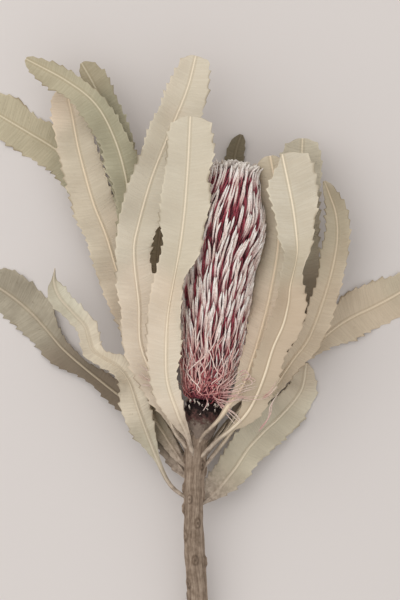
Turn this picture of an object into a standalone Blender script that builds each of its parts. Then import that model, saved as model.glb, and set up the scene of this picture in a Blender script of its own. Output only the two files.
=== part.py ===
"""A cut banksia flower spike with its leaves, dried, lying on its side on a table.

World frame: +X to the right, +Y along the stem towards the leaf tips, +Z up.
The table is z = 0. All sizes in this file are millimetres until they are written.
"""

import math
import random

import bmesh
import bpy
import numpy as np
from mathutils import Matrix, Vector

MM = 0.001
GAP = 0.3

# Stem: centre line from the cut end up to the head, with its radius at each point.
STEM_LINE = (
    (-1.2, -154.9, 5.2, 5.4),
    (-1.4, -134.0, 7.8, 5.2),
    (-1.2, -110.0, 10.8, 5.0),
    (-2.6, -90.0, 13.6, 5.1),
    (-3.1, -72.0, 16.2, 4.7),
    (-2.9, -56.0, 18.3, 5.0),
    (-2.2, -44.0, 20.0, 5.4),
    (-1.9, -34.0, 21.5, 5.8),
    (-0.6, -29.5, 22.6, 5.9),
    (0.45, -26.8, 23.16, 6.1),
    (0.75, -24.4, 23.25, 6.2),
)
# Leaf scars and buds on the bark: along the stem, degrees round it, length, width.
KNOBS = (
    (-40.0, 205.0, 5.0, 2.6),
    (-44.0, 330.0, 4.6, 2.2),
    (-47.0, 80.0, 4.4, 2.2),
    (-54.0, 140.0, 5.4, 2.4),
    (-58.5, 60.0, 4.8, 2.2),
    (-64.0, 190.0, 5.2, 2.6),
    (-70.0, 95.0, 5.0, 2.2),
    (-77.0, 175.0, 5.6, 2.4),
    (-83.0, 270.0, 4.8, 2.2),
    (-91.0, 20.0, 5.2, 2.4),
    (-97.0, 120.0, 4.6, 2.0),
    (-108.0, 200.0, 5.0, 2.2),
    (-121.0, 50.0, 5.0, 2.2),
    (-136.0, 150.0, 5.0, 2.2),
)

# Flower head: its axis starts at the stem and leans a little to the right.
HEAD_START = (0.8, -24.0, 23.36)
HEAD_AIM = (0.1235, 0.9917, 0.036)
CUP_LENGTH = 9.0
CUP_PROFILE = ((6.4, 0.0), (8.2, 1.6), (9.0, 4.2), (8.8, 7.0), (8.2, 9.0))
CUP_BUMP_ROWS = 3
CUP_BUMPS_ROUND = 12
SPIKE_CORE = (
    (8.2, 0.0),
    (8.6, 5.0),
    (9.6, 12.0),
    (11.4, 18.0),
    (12.4, 26.0),
    (12.8, 40.0),
    (13.4, 58.0),
    (14.2, 72.0),
    (15.6, 82.0),
    (15.2, 90.0),
    (13.6, 97.0),
    (11.6, 106.0),
    (8.6, 113.0),
    (4.6, 117.0),
)
FLORET_COLUMNS = 22
FLORET_PITCH = 9.2
FLORET_ROWS = 13
FLORET_REACH = 3.9
FLORET_LENGTH = 8.4
FLORET_RADIUS = 1.05

# Leaves. Each has its midrib as points from the stem to the tip; its half widths
# (share of the length, left, right); how far each half is lifted out of the level
# (share of the length, left, right, degrees); and its waves (count, degrees, phase).
TOOTH_PITCH = 8.0
TOOTH_DEPTH = 1.5
TOOTHED_FROM = 3.6
BLADE = 1.8
BLADE_MIDRIB = 0.66
BLADE_EDGE = 0.42
RESTING = 0.36

LEAVES = {
    "leaf_front_left": {
        "tint": (0.66, 0.60, 0.47),
        "midrib": (
            (-2.8, -41.0, 24.0),
            (-4.4, -36.5, 27.0),
            (-6.4, -29.5, 29.5),
            (-11.0, -19.0, 32.0),
            (-16.0, -1.5, 34.5),
            (-15.6, 25.0, 36.5),
            (-11.2, 51.0, 38.5),
            (-8.2, 71.0, 40.5),
            (-6.2, 94.0, 42.0),
            (-4.6, 124.0, 43.0),
        ),
        "widths": (
            (0.0, 1.3, 1.3),
            (0.07, 1.6, 1.6),
            (0.13, 4.2, 3.4),
            (0.2, 7.8, 5.0),
            (0.3, 8.4, 6.4),
            (0.37, 9.2, 8.4),
            (0.47, 10.4, 10.4),
            (0.55, 9.0, 10.8),
            (0.63, 8.4, 11.0),
            (0.7, 11.8, 11.6),
            (0.76, 11.4, 12.0),
            (0.93, 10.4, 11.6),
            (0.985, 9.6, 10.6),
            (1.0, 3.6, 9.0),
        ),
        "lifts": (
            (0.0, 0.0, 0.0),
            (0.2, 8.0, 25.0),
            (0.38, 6.0, 30.0),
            (0.47, 8.0, 68.0),
            (0.56, 10.0, 62.0),
            (0.66, 6.0, 26.0),
            (0.8, 10.0, 24.0),
            (1.0, 4.0, 12.0),
        ),
        "waves": (7.0, 5.0, 0.1),
    },
    "leaf_tall_left": {
        "tint": (0.65, 0.58, 0.45),
        "midrib": (
            (-3.6, -39.5, 22.4),
            (-8.0, -34.5, 23.4),
            (-13.0, -27.0, 23.8),
            (-19.4, -9.0, 24.4),
            (-28.4, 12.6, 25.0),
            (-29.6, 34.0, 26.0),
            (-32.0, 58.0, 27.0),
            (-29.6, 73.0, 27.6),
            (-23.3, 95.0, 28.4),
            (-15.5, 115.0, 29.2),
            (-6.3, 137.5, 30.0),
            (-2.0, 154.0, 30.4),
        ),
        "widths": (
            (0.0, 1.3, 1.3),
            (0.09, 1.6, 1.6),
            (0.16, 6.2, 5.2),
            (0.27, 9.2, 8.0),
            (0.43, 9.2, 8.6),
            (0.51, 9.2, 7.2),
            (0.58, 9.4, 8.6),
            (0.65, 9.6, 9.6),
            (0.86, 9.6, 10.6),
            (0.93, 8.2, 9.8),
            (0.975, 6.4, 8.0),
            (1.0, 2.4, 4.6),
        ),
        "lifts": ((0.0, 0.0, 0.0), (0.3, 6.0, 6.0), (0.7, 12.0, 6.0), (1.0, 8.0, 10.0)),
        "waves": (8.0, 6.0, 0.4),
    },
    "leaf_top_left": {
        "tint": (0.48, 0.45, 0.30),
        "midrib": (
            (-3.4, -33.6, 21.6),
            (-6.6, -29.0, 21.2),
            (-10.7, -20.4, 20.8),
            (-17.0, -8.3, 20.6),
            (-24.5, 9.0, 20.6),
            (-30.5, 30.0, 20.8),
            (-33.4, 55.0, 21.2),
            (-34.5, 81.0, 22.4),
            (-36.5, 97.0, 23.6),
            (-42.0, 115.0, 25.6),
            (-51.0, 131.0, 27.6),
            (-65.0, 142.0, 30.0),
            (-84.5, 152.5, 32.0),
        ),
        "widths": (
            (0.0, 1.2, 1.2),
            (0.12, 1.6, 1.6),
            (0.3, 5.0, 5.0),
            (0.55, 6.0, 6.0),
            (0.657, 8.0, 7.8),
            (0.66, 7.4, 8.0),
            (0.739, 8.2, 5.6),
            (0.812, 8.2, 4.6),
            (0.857, 7.2, 4.4),
            (0.897, 6.6, 4.6),
            (0.945, 6.4, 4.6),
            (0.96, 5.6, 4.2),
            (1.0, 2.4, 2.2),
        ),
        "lifts": ((0.0, 0.0, 0.0), (0.5, -6.0, -6.0), (0.75, 10.0, 0.0), (1.0, 8.0, 18.0)),
        "waves": (8.0, 6.0, 0.2),
    },
    "leaf_top_behind": {
        "tint": (0.40, 0.38, 0.27),
        "midrib": (
            (-4.2, -37.0, 19.0),
            (-7.8, -31.5, 18.2),
            (-12.4, -23.0, 17.4),
            (-20.0, -8.0, 17.0),
            (-27.0, 12.0, 16.8),
            (-32.0, 40.0, 17.0),
            (-34.6, 65.0, 17.2),
            (-36.6, 85.0, 18.0),
            (-39.4, 100.0, 19.0),
            (-43.4, 116.0, 20.4),
            (-47.4, 131.0, 21.8),
            (-52.6, 142.0, 22.8),
            (-57.8, 151.0, 23.6),
        ),
        "widths": (
            (0.0, 1.1, 1.1),
            (0.12, 1.4, 1.4),
            (0.3, 4.0, 4.0),
            (0.6, 4.4, 4.4),
            (0.662, 5.4, 4.4),
            (0.744, 6.4, 8.0),
            (0.807, 7.0, 9.8),
            (0.86, 7.0, 8.4),
            (0.902, 6.4, 7.0),
            (0.947, 5.0, 7.0),
            (0.977, 3.4, 6.6),
            (1.0, 1.4, 4.2),
        ),
        "lifts": ((0.0, 0.0, 0.0), (0.5, -6.0, -6.0), (1.0, 0.0, 0.0)),
        "waves": (8.0, 5.0, 0.6),
    },
    "leaf_outer_left": {
        "tint": (0.62, 0.55, 0.42),
        "midrib": (
            (-3.8, -43.2, 17.4),
            (-7.4, -36.5, 15.6),
            (-12.2, -25.3, 14.2),
            (-18.0, -10.7, 13.6),
            (-24.3, 5.3, 13.4),
            (-30.6, 21.0, 13.2),
            (-36.5, 38.0, 13.2),
            (-41.3, 52.0, 13.4),
            (-46.0, 67.5, 14.0),
            (-52.5, 84.0, 14.6),
            (-59.3, 109.0, 15.4),
            (-62.7, 127.0, 16.0),
            (-65.6, 139.0, 16.6),
        ),
        "widths": (
            (0.0, 1.3, 1.3),
            (0.12, 1.6, 1.6),
            (0.24, 5.4, 5.4),
            (0.42, 8.6, 8.6),
            (0.6, 10.2, 9.6),
            (0.85, 10.4, 8.6),
            (0.95, 10.0, 7.6),
            (1.0, 6.8, 5.0),
        ),
        "lifts": ((0.0, 0.0, 0.0), (0.5, 4.0, 0.0), (1.0, 6.0, 10.0)),
        "waves": (9.0, 6.0, 0.3),
    },
    "leaf_far_left": {
        "tint": (0.48, 0.45, 0.32),
        "midrib": (
            (-4.4, -46.4, 15.2),
            (-8.0, -40.4, 11.4),
            (-13.2, -31.2, 8.8),
            (-19.8, -15.0, 7.2),
            (-26.6, 5.3, 6.2),
            (-31.8, 24.0, 4.8),
            (-36.4, 42.0, 3.8),
            (-42.0, 60.0, 2.8),
            (-48.6, 77.0, 2.0),
            (-56.2, 92.6, 1.2),
            (-65.4, 105.2, 0.4),
            (-74.4, 112.0, 0.2),
            (-84.4, 118.0, 0.2),
            (-92.8, 123.0, 0.2),
            (-105.6, 130.6, 0.2),
        ),
        "widths": (
            (0.0, 1.3, 1.3),
            (0.12, 1.6, 1.6),
            (0.26, 3.4, 4.2),
            (0.271, 3.4, 5.6),
            (0.361, 3.8, 6.4),
            (0.449, 4.4, 7.0),
            (0.536, 6.4, 7.4),
            (0.622, 8.4, 7.8),
            (0.737, 9.8, 8.6),
            (0.817, 10.2, 9.8),
            (0.855, 10.2, 9.6),
            (0.895, 10.0, 7.2),
            (0.932, 9.6, 11.2),
            (0.96, 8.6, 12.6),
            (1.0, 5.0, 8.6),
        ),
        "lifts": ((0.0, 0.0, 0.0), (0.4, -3.0, -3.0), (0.7, -4.0, 2.0), (1.0, -2.0, -2.0)),
        "waves": (9.0, 4.0, 0.0),
    },
    "leaf_low_left_front": {
        "tint": (0.58, 0.52, 0.38),
        "midrib": (
            (-4.8, -62.2, 18.0),
            (-12.0, -57.4, 18.6),
            (-16.4, -52.0, 18.8),
            (-20.8, -42.4, 19.2),
            (-26.4, -28.0, 19.8),
            (-30.3, -16.7, 20.4),
            (-34.2, -5.0, 20.2),
            (-40.0, 2.8, 20.0),
            (-46.9, 7.2, 19.8),
            (-52.2, 11.1, 19.8),
            (-54.2, 16.5, 19.8),
            (-56.1, 22.8, 19.8),
            (-62.0, 29.2, 19.6),
            (-68.4, 36.5, 19.2),
            (-71.3, 43.8, 18.6),
            (-70.9, 51.1, 18.0),
        ),
        "widths": (
            (0.0, 1.2, 1.2),
            (0.115, 1.3, 1.3),
            (0.195, 1.8, 1.6),
            (0.253, 4.4, 2.8),
            (0.306, 6.6, 4.4),
            (0.393, 7.8, 5.6),
            (0.484, 6.0, 5.8),
            (0.554, 5.2, 5.6),
            (0.614, 5.2, 4.0),
            (0.662, 5.4, 5.0),
            (0.704, 4.2, 4.6),
            (0.754, 4.2, 4.8),
            (0.815, 4.2, 4.6),
            (0.887, 5.2, 5.2),
            (0.922, 4.8, 4.6),
            (0.957, 1.2, 1.4),
            (0.972, 0.6, 0.6),
            (1.0, 0.45, 0.45),
        ),
        "lifts": (
            (0.0, 0.0, 0.0),
            (0.393, 10.0, 6.0),
            (0.554, 46.0, 14.0),
            (0.614, 52.0, 40.0),
            (0.662, 24.0, 16.0),
            (0.815, 22.0, 12.0),
            (1.0, 8.0, 8.0),
        ),
        "waves": (6.0, 9.0, 0.2),
    },
    "leaf_low_left_back": {
        "tint": (0.42, 0.37, 0.27),
        "midrib": (
            (-5.0, -52.8, 16.8),
            (-10.4, -44.8, 15.2),
            (-19.4, -31.2, 12.4),
            (-31.8, -18.0, 8.6),
            (-46.4, -6.4, 5.2),
            (-58.3, 3.2, 3.4),
            (-67.8, 11.6, 2.0),
            (-75.6, 20.8, 0.9),
            (-83.8, 29.6, 0.2),
            (-93.4, 37.6, 0.2),
            (-105.6, 45.6, 0.2),
        ),
        "widths": (
            (0.0, 1.3, 1.3),
            (0.03, 2.6, 1.6),
            (0.07, 4.6, 2.2),
            (0.14, 4.8, 3.0),
            (0.22, 5.0, 4.2),
            (0.313, 5.6, 5.0),
            (0.424, 4.6, 5.2),
            (0.481, 3.6, 4.6),
            (0.544, 4.6, 3.2),
            (0.591, 7.6, 3.2),
            (0.644, 9.6, 3.6),
            (0.707, 9.0, 5.8),
            (0.769, 9.4, 10.2),
            (0.872, 10.6, 11.2),
            (0.96, 9.0, 10.6),
            (1.0, 6.0, 6.4),
        ),
        "lifts": (
            (0.0, 0.0, 0.0),
            (0.4, 8.0, 8.0),
            (0.6, 0.0, 16.0),
            (0.72, 0.0, 24.0),
            (0.8, -2.0, 4.0),
            (1.0, -2.0, -2.0),
        ),
        "waves": (6.0, 5.0, 0.5),
    },
    "leaf_mid_back": {
        "tint": (0.24, 0.21, 0.14),
        "midrib": (
            (-3.8, -47.6, 19.4),
            (-8.7, -43.5, 18.2),
            (-12.8, -37.4, 17.0),
            (-17.2, -30.6, 15.4),
            (-22.8, -21.5, 12.8),
            (-25.2, -11.0, 10.8),
            (-25.0, 3.0, 9.8),
            (-23.0, 25.0, 9.0),
            (-21.2, 45.0, 8.6),
            (-20.2, 62.0, 8.6),
            (-18.8, 80.0, 9.0),
            (-17.5, 92.0, 9.4),
        ),
        "widths": (
            (0.0, 1.2, 1.2),
            (0.04, 1.8, 1.6),
            (0.09, 3.4, 2.6),
            (0.16, 4.4, 3.4),
            (0.25, 4.6, 4.0),
            (0.4, 5.4, 5.4),
            (0.7, 8.0, 7.4),
            (0.93, 6.6, 6.2),
            (1.0, 3.0, 3.0),
        ),
        "lifts": ((0.0, 0.0, 0.0), (1.0, 4.0, 4.0)),
        "waves": (7.0, 3.0, 0.0),
    },
    "leaf_spike_back": {
        "tint": (0.20, 0.17, 0.12),
        "midrib": (
            (-1.6, -51.0, 15.6),
            (2.0, -42.0, 10.4),
            (5.0, -30.0, 5.4),
            (7.4, -16.0, 2.0),
            (9.4, 0.0, 0.2),
            (11.4, 20.0, 0.2),
            (13.8, 45.0, 0.2),
            (16.0, 72.0, 0.2),
            (17.0, 95.0, 0.2),
            (17.4, 107.0, 1.4),
            (20.4, 117.0, 3.4),
        ),
        "widths": (
            (0.0, 1.3, 1.3),
            (0.12, 1.6, 1.6),
            (0.26, 5.6, 5.6),
            (0.5, 8.6, 8.6),
            (0.8, 8.4, 8.4),
            (0.93, 5.6, 5.2),
            (0.975, 4.8, 4.4),
            (1.0, 2.2, 2.4),
        ),
        "lifts": ((0.0, 0.0, 0.0), (0.85, 0.0, 0.0), (1.0, 10.0, 10.0)),
        "waves": (6.0, 0.0, 0.0),
    },
    "leaf_spike_right": {
        "tint": (0.60, 0.53, 0.40),
        "midrib": (
            (-0.9, -34.4, 25.2),
            (1.6, -30.2, 28.8),
            (5.2, -26.6, 31.8),
            (9.6, -21.8, 33.6),
            (13.6, -15.8, 33.6),
            (20.9, -6.3, 31.8),
            (24.6, 4.0, 31.0),
            (28.0, 14.5, 30.4),
            (32.6, 31.6, 30.0),
            (36.5, 51.5, 30.0),
            (38.2, 66.0, 30.0),
            (38.0, 80.0, 30.4),
            (36.4, 93.0, 31.0),
            (34.0, 105.5, 31.6),
        ),
        "widths": (
            (0.0, 1.2, 1.2),
            (0.123, 1.3, 1.3),
            (0.185, 1.8, 2.4),
            (0.251, 4.4, 4.6),
            (0.321, 5.0, 6.2),
            (0.393, 4.6, 7.2),
            (0.511, 6.4, 8.0),
            (0.644, 7.8, 8.0),
            (0.739, 7.6, 8.0),
            (0.83, 6.2, 7.8),
            (0.917, 4.6, 7.2),
            (0.97, 5.2, 6.0),
            (1.0, 3.8, 3.8),
        ),
        "lifts": (
            (0.0, 0.0, 0.0),
            (0.321, -8.0, -6.0),
            (0.393, -12.0, -7.0),
            (0.511, -28.0, -8.0),
            (0.644, -36.0, -8.0),
            (0.739, -44.0, -8.0),
            (0.83, -40.0, -8.0),
            (0.917, -30.0, -6.0),
            (1.0, -8.0, -4.0),
        ),
        "waves": (7.0, 3.0, 0.2),
    },
    "leaf_front_right": {
        "tint": (0.64, 0.57, 0.44),
        "midrib": (
            (0.4, -41.0, 23.6),
            (3.6, -37.6, 26.4),
            (8.7, -32.4, 28.8),
            (15.4, -26.8, 31.0),
            (21.9, -20.4, 33.2),
            (26.4, -13.0, 34.8),
            (31.4, -0.5, 36.0),
            (35.4, 12.6, 37.0),
            (40.2, 23.6, 37.7),
            (42.6, 34.0, 38.1),
            (43.6, 42.0, 38.4),
            (46.4, 53.5, 39.0),
            (47.0, 62.0, 39.2),
            (45.4, 77.0, 39.4),
            (42.6, 92.0, 39.6),
            (39.6, 106.0, 39.6),
        ),
        "widths": (
            (0.0, 1.2, 1.2),
            (0.135, 1.5, 1.5),
            (0.193, 3.2, 4.4),
            (0.248, 5.2, 6.8),
            (0.331, 6.6, 6.8),
            (0.414, 6.8, 6.4),
            (0.479, 7.0, 9.4),
            (0.539, 6.8, 9.0),
            (0.602, 7.0, 8.0),
            (0.662, 7.6, 7.6),
            (0.714, 8.4, 8.2),
            (0.764, 9.2, 8.8),
            (0.845, 10.2, 12.2),
            (0.912, 11.0, 13.2),
            (0.965, 10.4, 12.2),
            (0.985, 6.2, 11.2),
            (1.0, 2.0, 9.6),
        ),
        "lifts": (
            (0.0, 0.0, 0.0),
            (0.248, 14.0, 4.0),
            (0.414, 20.0, 12.0),
            (0.539, 30.0, 16.0),
            (0.627, 36.0, 54.0),
            (0.689, 36.0, 60.0),
            (0.752, 20.0, 26.0),
            (0.845, 8.0, 4.0),
            (1.0, 6.0, 4.0),
        ),
        "waves": (7.0, 6.0, 0.3),
    },
    "leaf_tall_right": {
        "tint": (0.40, 0.37, 0.25),
        "midrib": (
            (-0.2, -43.8, 19.0),
            (4.4, -37.8, 17.6),
            (12.6, -28.0, 16.4),
            (22.4, -13.0, 15.2),
            (36.0, 6.3, 14.0),
            (43.7, 25.8, 12.6),
            (47.6, 45.2, 12.6),
            (48.6, 64.6, 13.2),
            (48.6, 84.0, 14.0),
            (49.6, 99.0, 15.0),
            (50.2, 114.6, 16.0),
        ),
        "widths": (
            (0.0, 1.3, 1.3),
            (0.12, 1.6, 1.6),
            (0.25, 4.6, 4.6),
            (0.42, 7.0, 6.4),
            (0.6, 9.4, 10.0),
            (0.8, 10.0, 9.4),
            (0.93, 10.8, 10.0),
            (0.975, 8.8, 9.4),
            (1.0, 3.6, 6.0),
        ),
        "lifts": ((0.0, 0.0, 0.0), (0.5, 0.0, 6.0), (1.0, 6.0, 6.0)),
        "waves": (8.0, 6.0, 0.1),
    },
    "leaf_outer_right": {
        "tint": (0.56, 0.50, 0.37),
        "midrib": (
            (0.2, -48.0, 21.2),
            (5.0, -42.0, 21.4),
            (10.6, -35.0, 21.6),
            (20.0, -23.0, 22.0),
            (34.0, -9.7, 22.6),
            (45.2, 6.3, 23.0),
            (52.5, 16.0, 23.2),
            (58.8, 31.6, 23.4),
            (63.7, 47.6, 23.4),
            (66.8, 64.0, 23.4),
            (66.2, 77.0, 23.6),
            (63.2, 86.5, 23.8),
            (60.4, 93.4, 24.0),
        ),
        "widths": (
            (0.0, 1.2, 1.2),
            (0.22, 1.5, 1.5),
            (0.34, 3.0, 3.6),
            (0.48, 5.0, 6.6),
            (0.62, 5.6, 6.4),
            (0.78, 6.6, 6.6),
            (0.9, 5.2, 6.0),
            (0.97, 3.0, 3.6),
            (1.0, 1.4, 1.6),
        ),
        "lifts": ((0.0, 0.0, 0.0), (0.4, 10.0, 6.0), (0.7, 16.0, 20.0), (1.0, 30.0, 16.0)),
        "waves": (7.0, 8.0, 0.25),
    },
    "leaf_far_right": {
        "tint": (0.50, 0.45, 0.32),
        "midrib": (
            (-0.2, -43.6, 15.4),
            (4.6, -36.6, 11.6),
            (9.7, -29.2, 9.8),
            (17.5, -20.0, 8.6),
            (24.3, -13.0, 7.8),
            (34.0, -5.3, 6.6),
            (43.7, 3.0, 5.6),
            (54.0, 11.2, 3.8),
            (65.8, 21.2, 2.0),
            (74.6, 26.8, 0.9),
            (85.0, 31.8, 0.2),
            (95.0, 37.0, 0.2),
            (105.4, 43.4, 0.2),
        ),
        "widths": (
            (0.0, 1.2, 1.2),
            (0.2, 1.4, 1.4),
            (0.36, 3.2, 2.6),
            (0.5, 5.8, 3.0),
            (0.6, 6.6, 5.6),
            (0.694, 5.4, 9.0),
            (0.722, 6.6, 9.8),
            (0.752, 11.2, 10.2),
            (0.88, 11.0, 10.8),
            (1.0, 6.4, 6.4),
        ),
        "lifts": ((0.0, 0.0, 0.0), (0.5, 8.0, 8.0), (0.75, 4.0, 0.0), (1.0, -2.0, -2.0)),
        "waves": (6.0, 5.0, 0.3),
    },
    "leaf_low_right": {
        "tint": (0.52, 0.46, 0.33),
        "midrib": (
            (-0.2, -64.8, 16.8),
            (7.8, -58.3, 14.6),
            (12.6, -53.0, 12.8),
            (18.0, -46.0, 10.8),
            (23.8, -37.4, 8.8),
            (31.0, -29.6, 6.6),
            (39.4, -21.8, 4.6),
            (46.4, -14.0, 2.6),
            (50.6, -6.8, 1.4),
            (52.4, 4.6, 0.5),
        ),
        "widths": (
            (0.0, 1.2, 1.2),
            (0.04, 3.6, 1.8),
            (0.08, 6.0, 2.8),
            (0.16, 8.4, 5.0),
            (0.26, 9.4, 7.2),
            (0.38, 9.4, 8.6),
            (0.55, 8.8, 9.2),
            (0.7, 7.8, 9.8),
            (0.85, 7.0, 7.0),
            (0.95, 5.4, 4.4),
            (1.0, 2.4, 2.0),
        ),
        "lifts": ((0.0, 0.0, 0.0), (0.4, 10.0, 4.0), (0.8, 4.0, -3.0), (1.0, -2.0, -2.0)),
        "waves": (6.0, 6.0, 0.6),
    },
}


def emptied_scene():
    for thing in list(bpy.data.objects):
        bpy.data.objects.remove(thing, do_unlink=True)
    for group in list(bpy.data.collections):
        bpy.data.collections.remove(group)


def new_collection(name):
    group = bpy.data.collections.new(name)
    bpy.context.scene.collection.children.link(group)
    return group


def material(name, colour, roughness):
    made = bpy.data.materials.new(name)
    made.use_nodes = True
    shader = made.node_tree.nodes["Principled BSDF"]
    shader.inputs["Base Color"].default_value = (*colour, 1.0)
    shader.inputs["Roughness"].default_value = roughness
    made.diffuse_color = (*colour, 1.0)
    return made


def object_from(name, mesh, group):
    made = bpy.data.objects.new(name, mesh)
    group.objects.link(made)
    return made


def applied(thing):
    """The object's mesh with its modifiers worked in."""
    bpy.context.view_layer.update()
    graph = bpy.context.evaluated_depsgraph_get()
    mesh = bpy.data.meshes.new_from_object(thing.evaluated_get(graph), depsgraph=graph)
    mesh.name = thing.name
    thing.modifiers.clear()
    thing.data = mesh
    return thing


def smooth_line(points, count):
    """Points spaced evenly along a curve that passes smoothly through the given ones."""
    knots = np.array(points, float)
    padded = np.vstack([2 * knots[0] - knots[1], knots, 2 * knots[-1] - knots[-2]])
    share = np.linspace(0, 1, 40, endpoint=False)[:, None]
    runs = []
    for k in range(len(knots) - 1):
        a, b, c, d = padded[k : k + 4]
        runs.append(
            0.5
            * (
                2 * b
                + (c - a) * share
                + (2 * a - 5 * b + 4 * c - d) * share**2
                + (3 * b - a - 3 * c + d) * share**3
            )
        )
    dense = np.vstack([*runs, knots[-1:]])
    steps = np.linalg.norm(np.diff(dense[:, :3], axis=0), axis=1)
    along = np.concatenate([[0], np.cumsum(steps)])
    at = np.linspace(0, along[-1], count)
    line = np.stack([np.interp(at, along, dense[:, i]) for i in range(dense.shape[1])], axis=1)
    return line, along[-1]


def table_at(table, shares):
    """A table of (share, left, right) read at the given shares, one column for each side."""
    rows = np.array(table, float)
    return [np.interp(shares, rows[:, 0], rows[:, side]) for side in (1, 2)]


def stem_at(y):
    """Centre and radius of the stem at this place along it."""
    line = np.array(STEM_LINE)
    return [float(np.interp(y, line[:, 1], line[:, i])) for i in (0, 1, 2, 3)]


def stem_body(name, group, extra):
    """The bark as a round rod along the stem's line, thicker by extra all round."""
    line, _ = smooth_line(STEM_LINE, 24)
    aim = np.array(HEAD_AIM) / np.linalg.norm(HEAD_AIM)
    squared = line[-1] - 1.5 * np.append(aim, 0.0)
    line = np.vstack([line[:-1], squared, line[-1:]])
    curve = bpy.data.curves.new(name, "CURVE")
    curve.dimensions = "3D"
    curve.resolution_u = 1
    curve.render_resolution_u = 1
    curve.bevel_depth = 1.0
    curve.bevel_resolution = 6
    curve.use_fill_caps = True
    spline = curve.splines.new("POLY")
    spline.points.add(len(line) - 1)
    for point, (x, y, z, radius) in zip(spline.points, line):
        point.co = (x, y, z, 1.0)
        point.radius = radius + extra
    rod = object_from(name, curve, group)
    bpy.context.view_layer.update()
    graph = bpy.context.evaluated_depsgraph_get()
    mesh = bpy.data.meshes.new_from_object(rod.evaluated_get(graph), depsgraph=graph)
    bpy.data.objects.remove(rod, do_unlink=True)
    closed = bmesh.new()
    closed.from_mesh(mesh)
    bmesh.ops.remove_doubles(closed, verts=closed.verts, dist=0.001)
    bmesh.ops.recalc_face_normals(closed, faces=closed.faces)
    closed.to_mesh(mesh)
    closed.free()
    return object_from(name, mesh, group)


def union_of(body, group):
    """The body joined with every object of the collection, which is then emptied."""
    join = body.modifiers.new("join", "BOOLEAN")
    join.operation = "UNION"
    join.operand_type = "COLLECTION"
    join.collection = group
    join.solver = "MANIFOLD"
    applied(body)
    for thing in list(group.objects):
        bpy.data.objects.remove(thing, do_unlink=True)
    bpy.data.collections.remove(group)
    return body


def knobbed_stem(name, group, extra):
    """The stem with its leaf scars, all of it thicker by extra."""
    body = stem_body(name, group, extra)
    knobs = new_collection(name + "_knobs")
    for y, turn, length, width in KNOBS:
        x, _, z, radius = stem_at(y)
        angle = math.radians(turn)
        middle = Vector((x, y, z)) + 0.9 * radius * Vector((math.cos(angle), 0, math.sin(angle)))
        grown = bmesh.new()
        bmesh.ops.create_icosphere(grown, subdivisions=2, radius=1.0)
        size = Matrix.Diagonal((width / 2 + extra, length / 2 + extra, width / 2 + extra, 1.0))
        turned = Matrix.Rotation(-angle, 4, "Y")
        bmesh.ops.transform(grown, matrix=Matrix.Translation(middle) @ turned @ size, verts=grown.verts)
        mesh = bpy.data.meshes.new("knob")
        grown.to_mesh(mesh)
        grown.free()
        object_from("knob", mesh, knobs)
    return union_of(body, knobs)


def head_frame(along):
    """Matrix with its Z along the flower head's axis, starting this far along it."""
    aim = Vector(HEAD_AIM).normalized()
    start = Vector(HEAD_START) + aim * along
    side = Vector((1, 0, 0)) - aim * aim.x
    side.normalize()
    up = aim.cross(side)
    turned = Matrix((side, up, aim)).transposed().to_4x4()
    return Matrix.Translation(start) @ turned


def lathed(name, profile, sides, along, group):
    """A round body turned from a profile of (radius, height) about the head's axis."""
    mesh = bpy.data.meshes.new(name)
    points = [(0.0, 0.0, profile[0][1])]
    points += [(radius, 0.0, height) for radius, height in profile]
    points += [(0.0, 0.0, profile[-1][1] + 0.25 * profile[-1][0])]
    mesh.from_pydata(points, [(i, i + 1) for i in range(len(points) - 1)], [])
    thing = object_from(name, mesh, group)
    turn = thing.modifiers.new("turn", "SCREW")
    turn.steps = sides
    turn.render_steps = sides
    turn.use_merge_vertices = True
    turn.merge_threshold = 0.0001
    turn.use_smooth_shade = True
    applied(thing)
    turned = bmesh.new()
    turned.from_mesh(thing.data)
    bmesh.ops.remove_doubles(turned, verts=turned.verts, dist=0.0001)
    bmesh.ops.transform(turned, matrix=head_frame(along), verts=turned.verts)
    bmesh.ops.recalc_face_normals(turned, faces=turned.faces)
    turned.to_mesh(thing.data)
    turned.free()
    return thing


def spindle(points, radii, sides, spin):
    """A bent spindle: pointed at both ends, with a small ring at each middle point."""
    line = [Vector(p) for p in points]
    verts = [line[0]]
    for k in range(1, len(line) - 1):
        aim = (line[k + 1] - line[k - 1]).normalized()
        side = aim.orthogonal().normalized()
        up = aim.cross(side)
        for n in range(sides):
            angle = spin + 2 * math.pi * n / sides
            verts.append(line[k] + radii[k] * (math.cos(angle) * side + math.sin(angle) * up))
    verts.append(line[-1])
    rings = len(line) - 2
    faces = []
    for n in range(sides):
        m = (n + 1) % sides
        faces.append((0, 1 + m, 1 + n))
        for k in range(rings - 1):
            a, b = 1 + k * sides, 1 + (k + 1) * sides
            faces.append((a + n, a + m, b + m))
            faces.append((a + n, b + m, b + n))
        last = 1 + (rings - 1) * sides
        faces.append((last + n, last + m, len(verts) - 1))
    mesh = bpy.data.meshes.new("spindle")
    mesh.from_pydata([tuple(v) for v in verts], [], faces)
    tidy = bmesh.new()
    tidy.from_mesh(mesh)
    bmesh.ops.recalc_face_normals(tidy, faces=tidy.faces)
    tidy.to_mesh(mesh)
    tidy.free()
    return mesh


def on_head(frame, radius, turn, along):
    return frame @ Vector((radius * math.cos(turn), radius * math.sin(turn), along))


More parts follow.
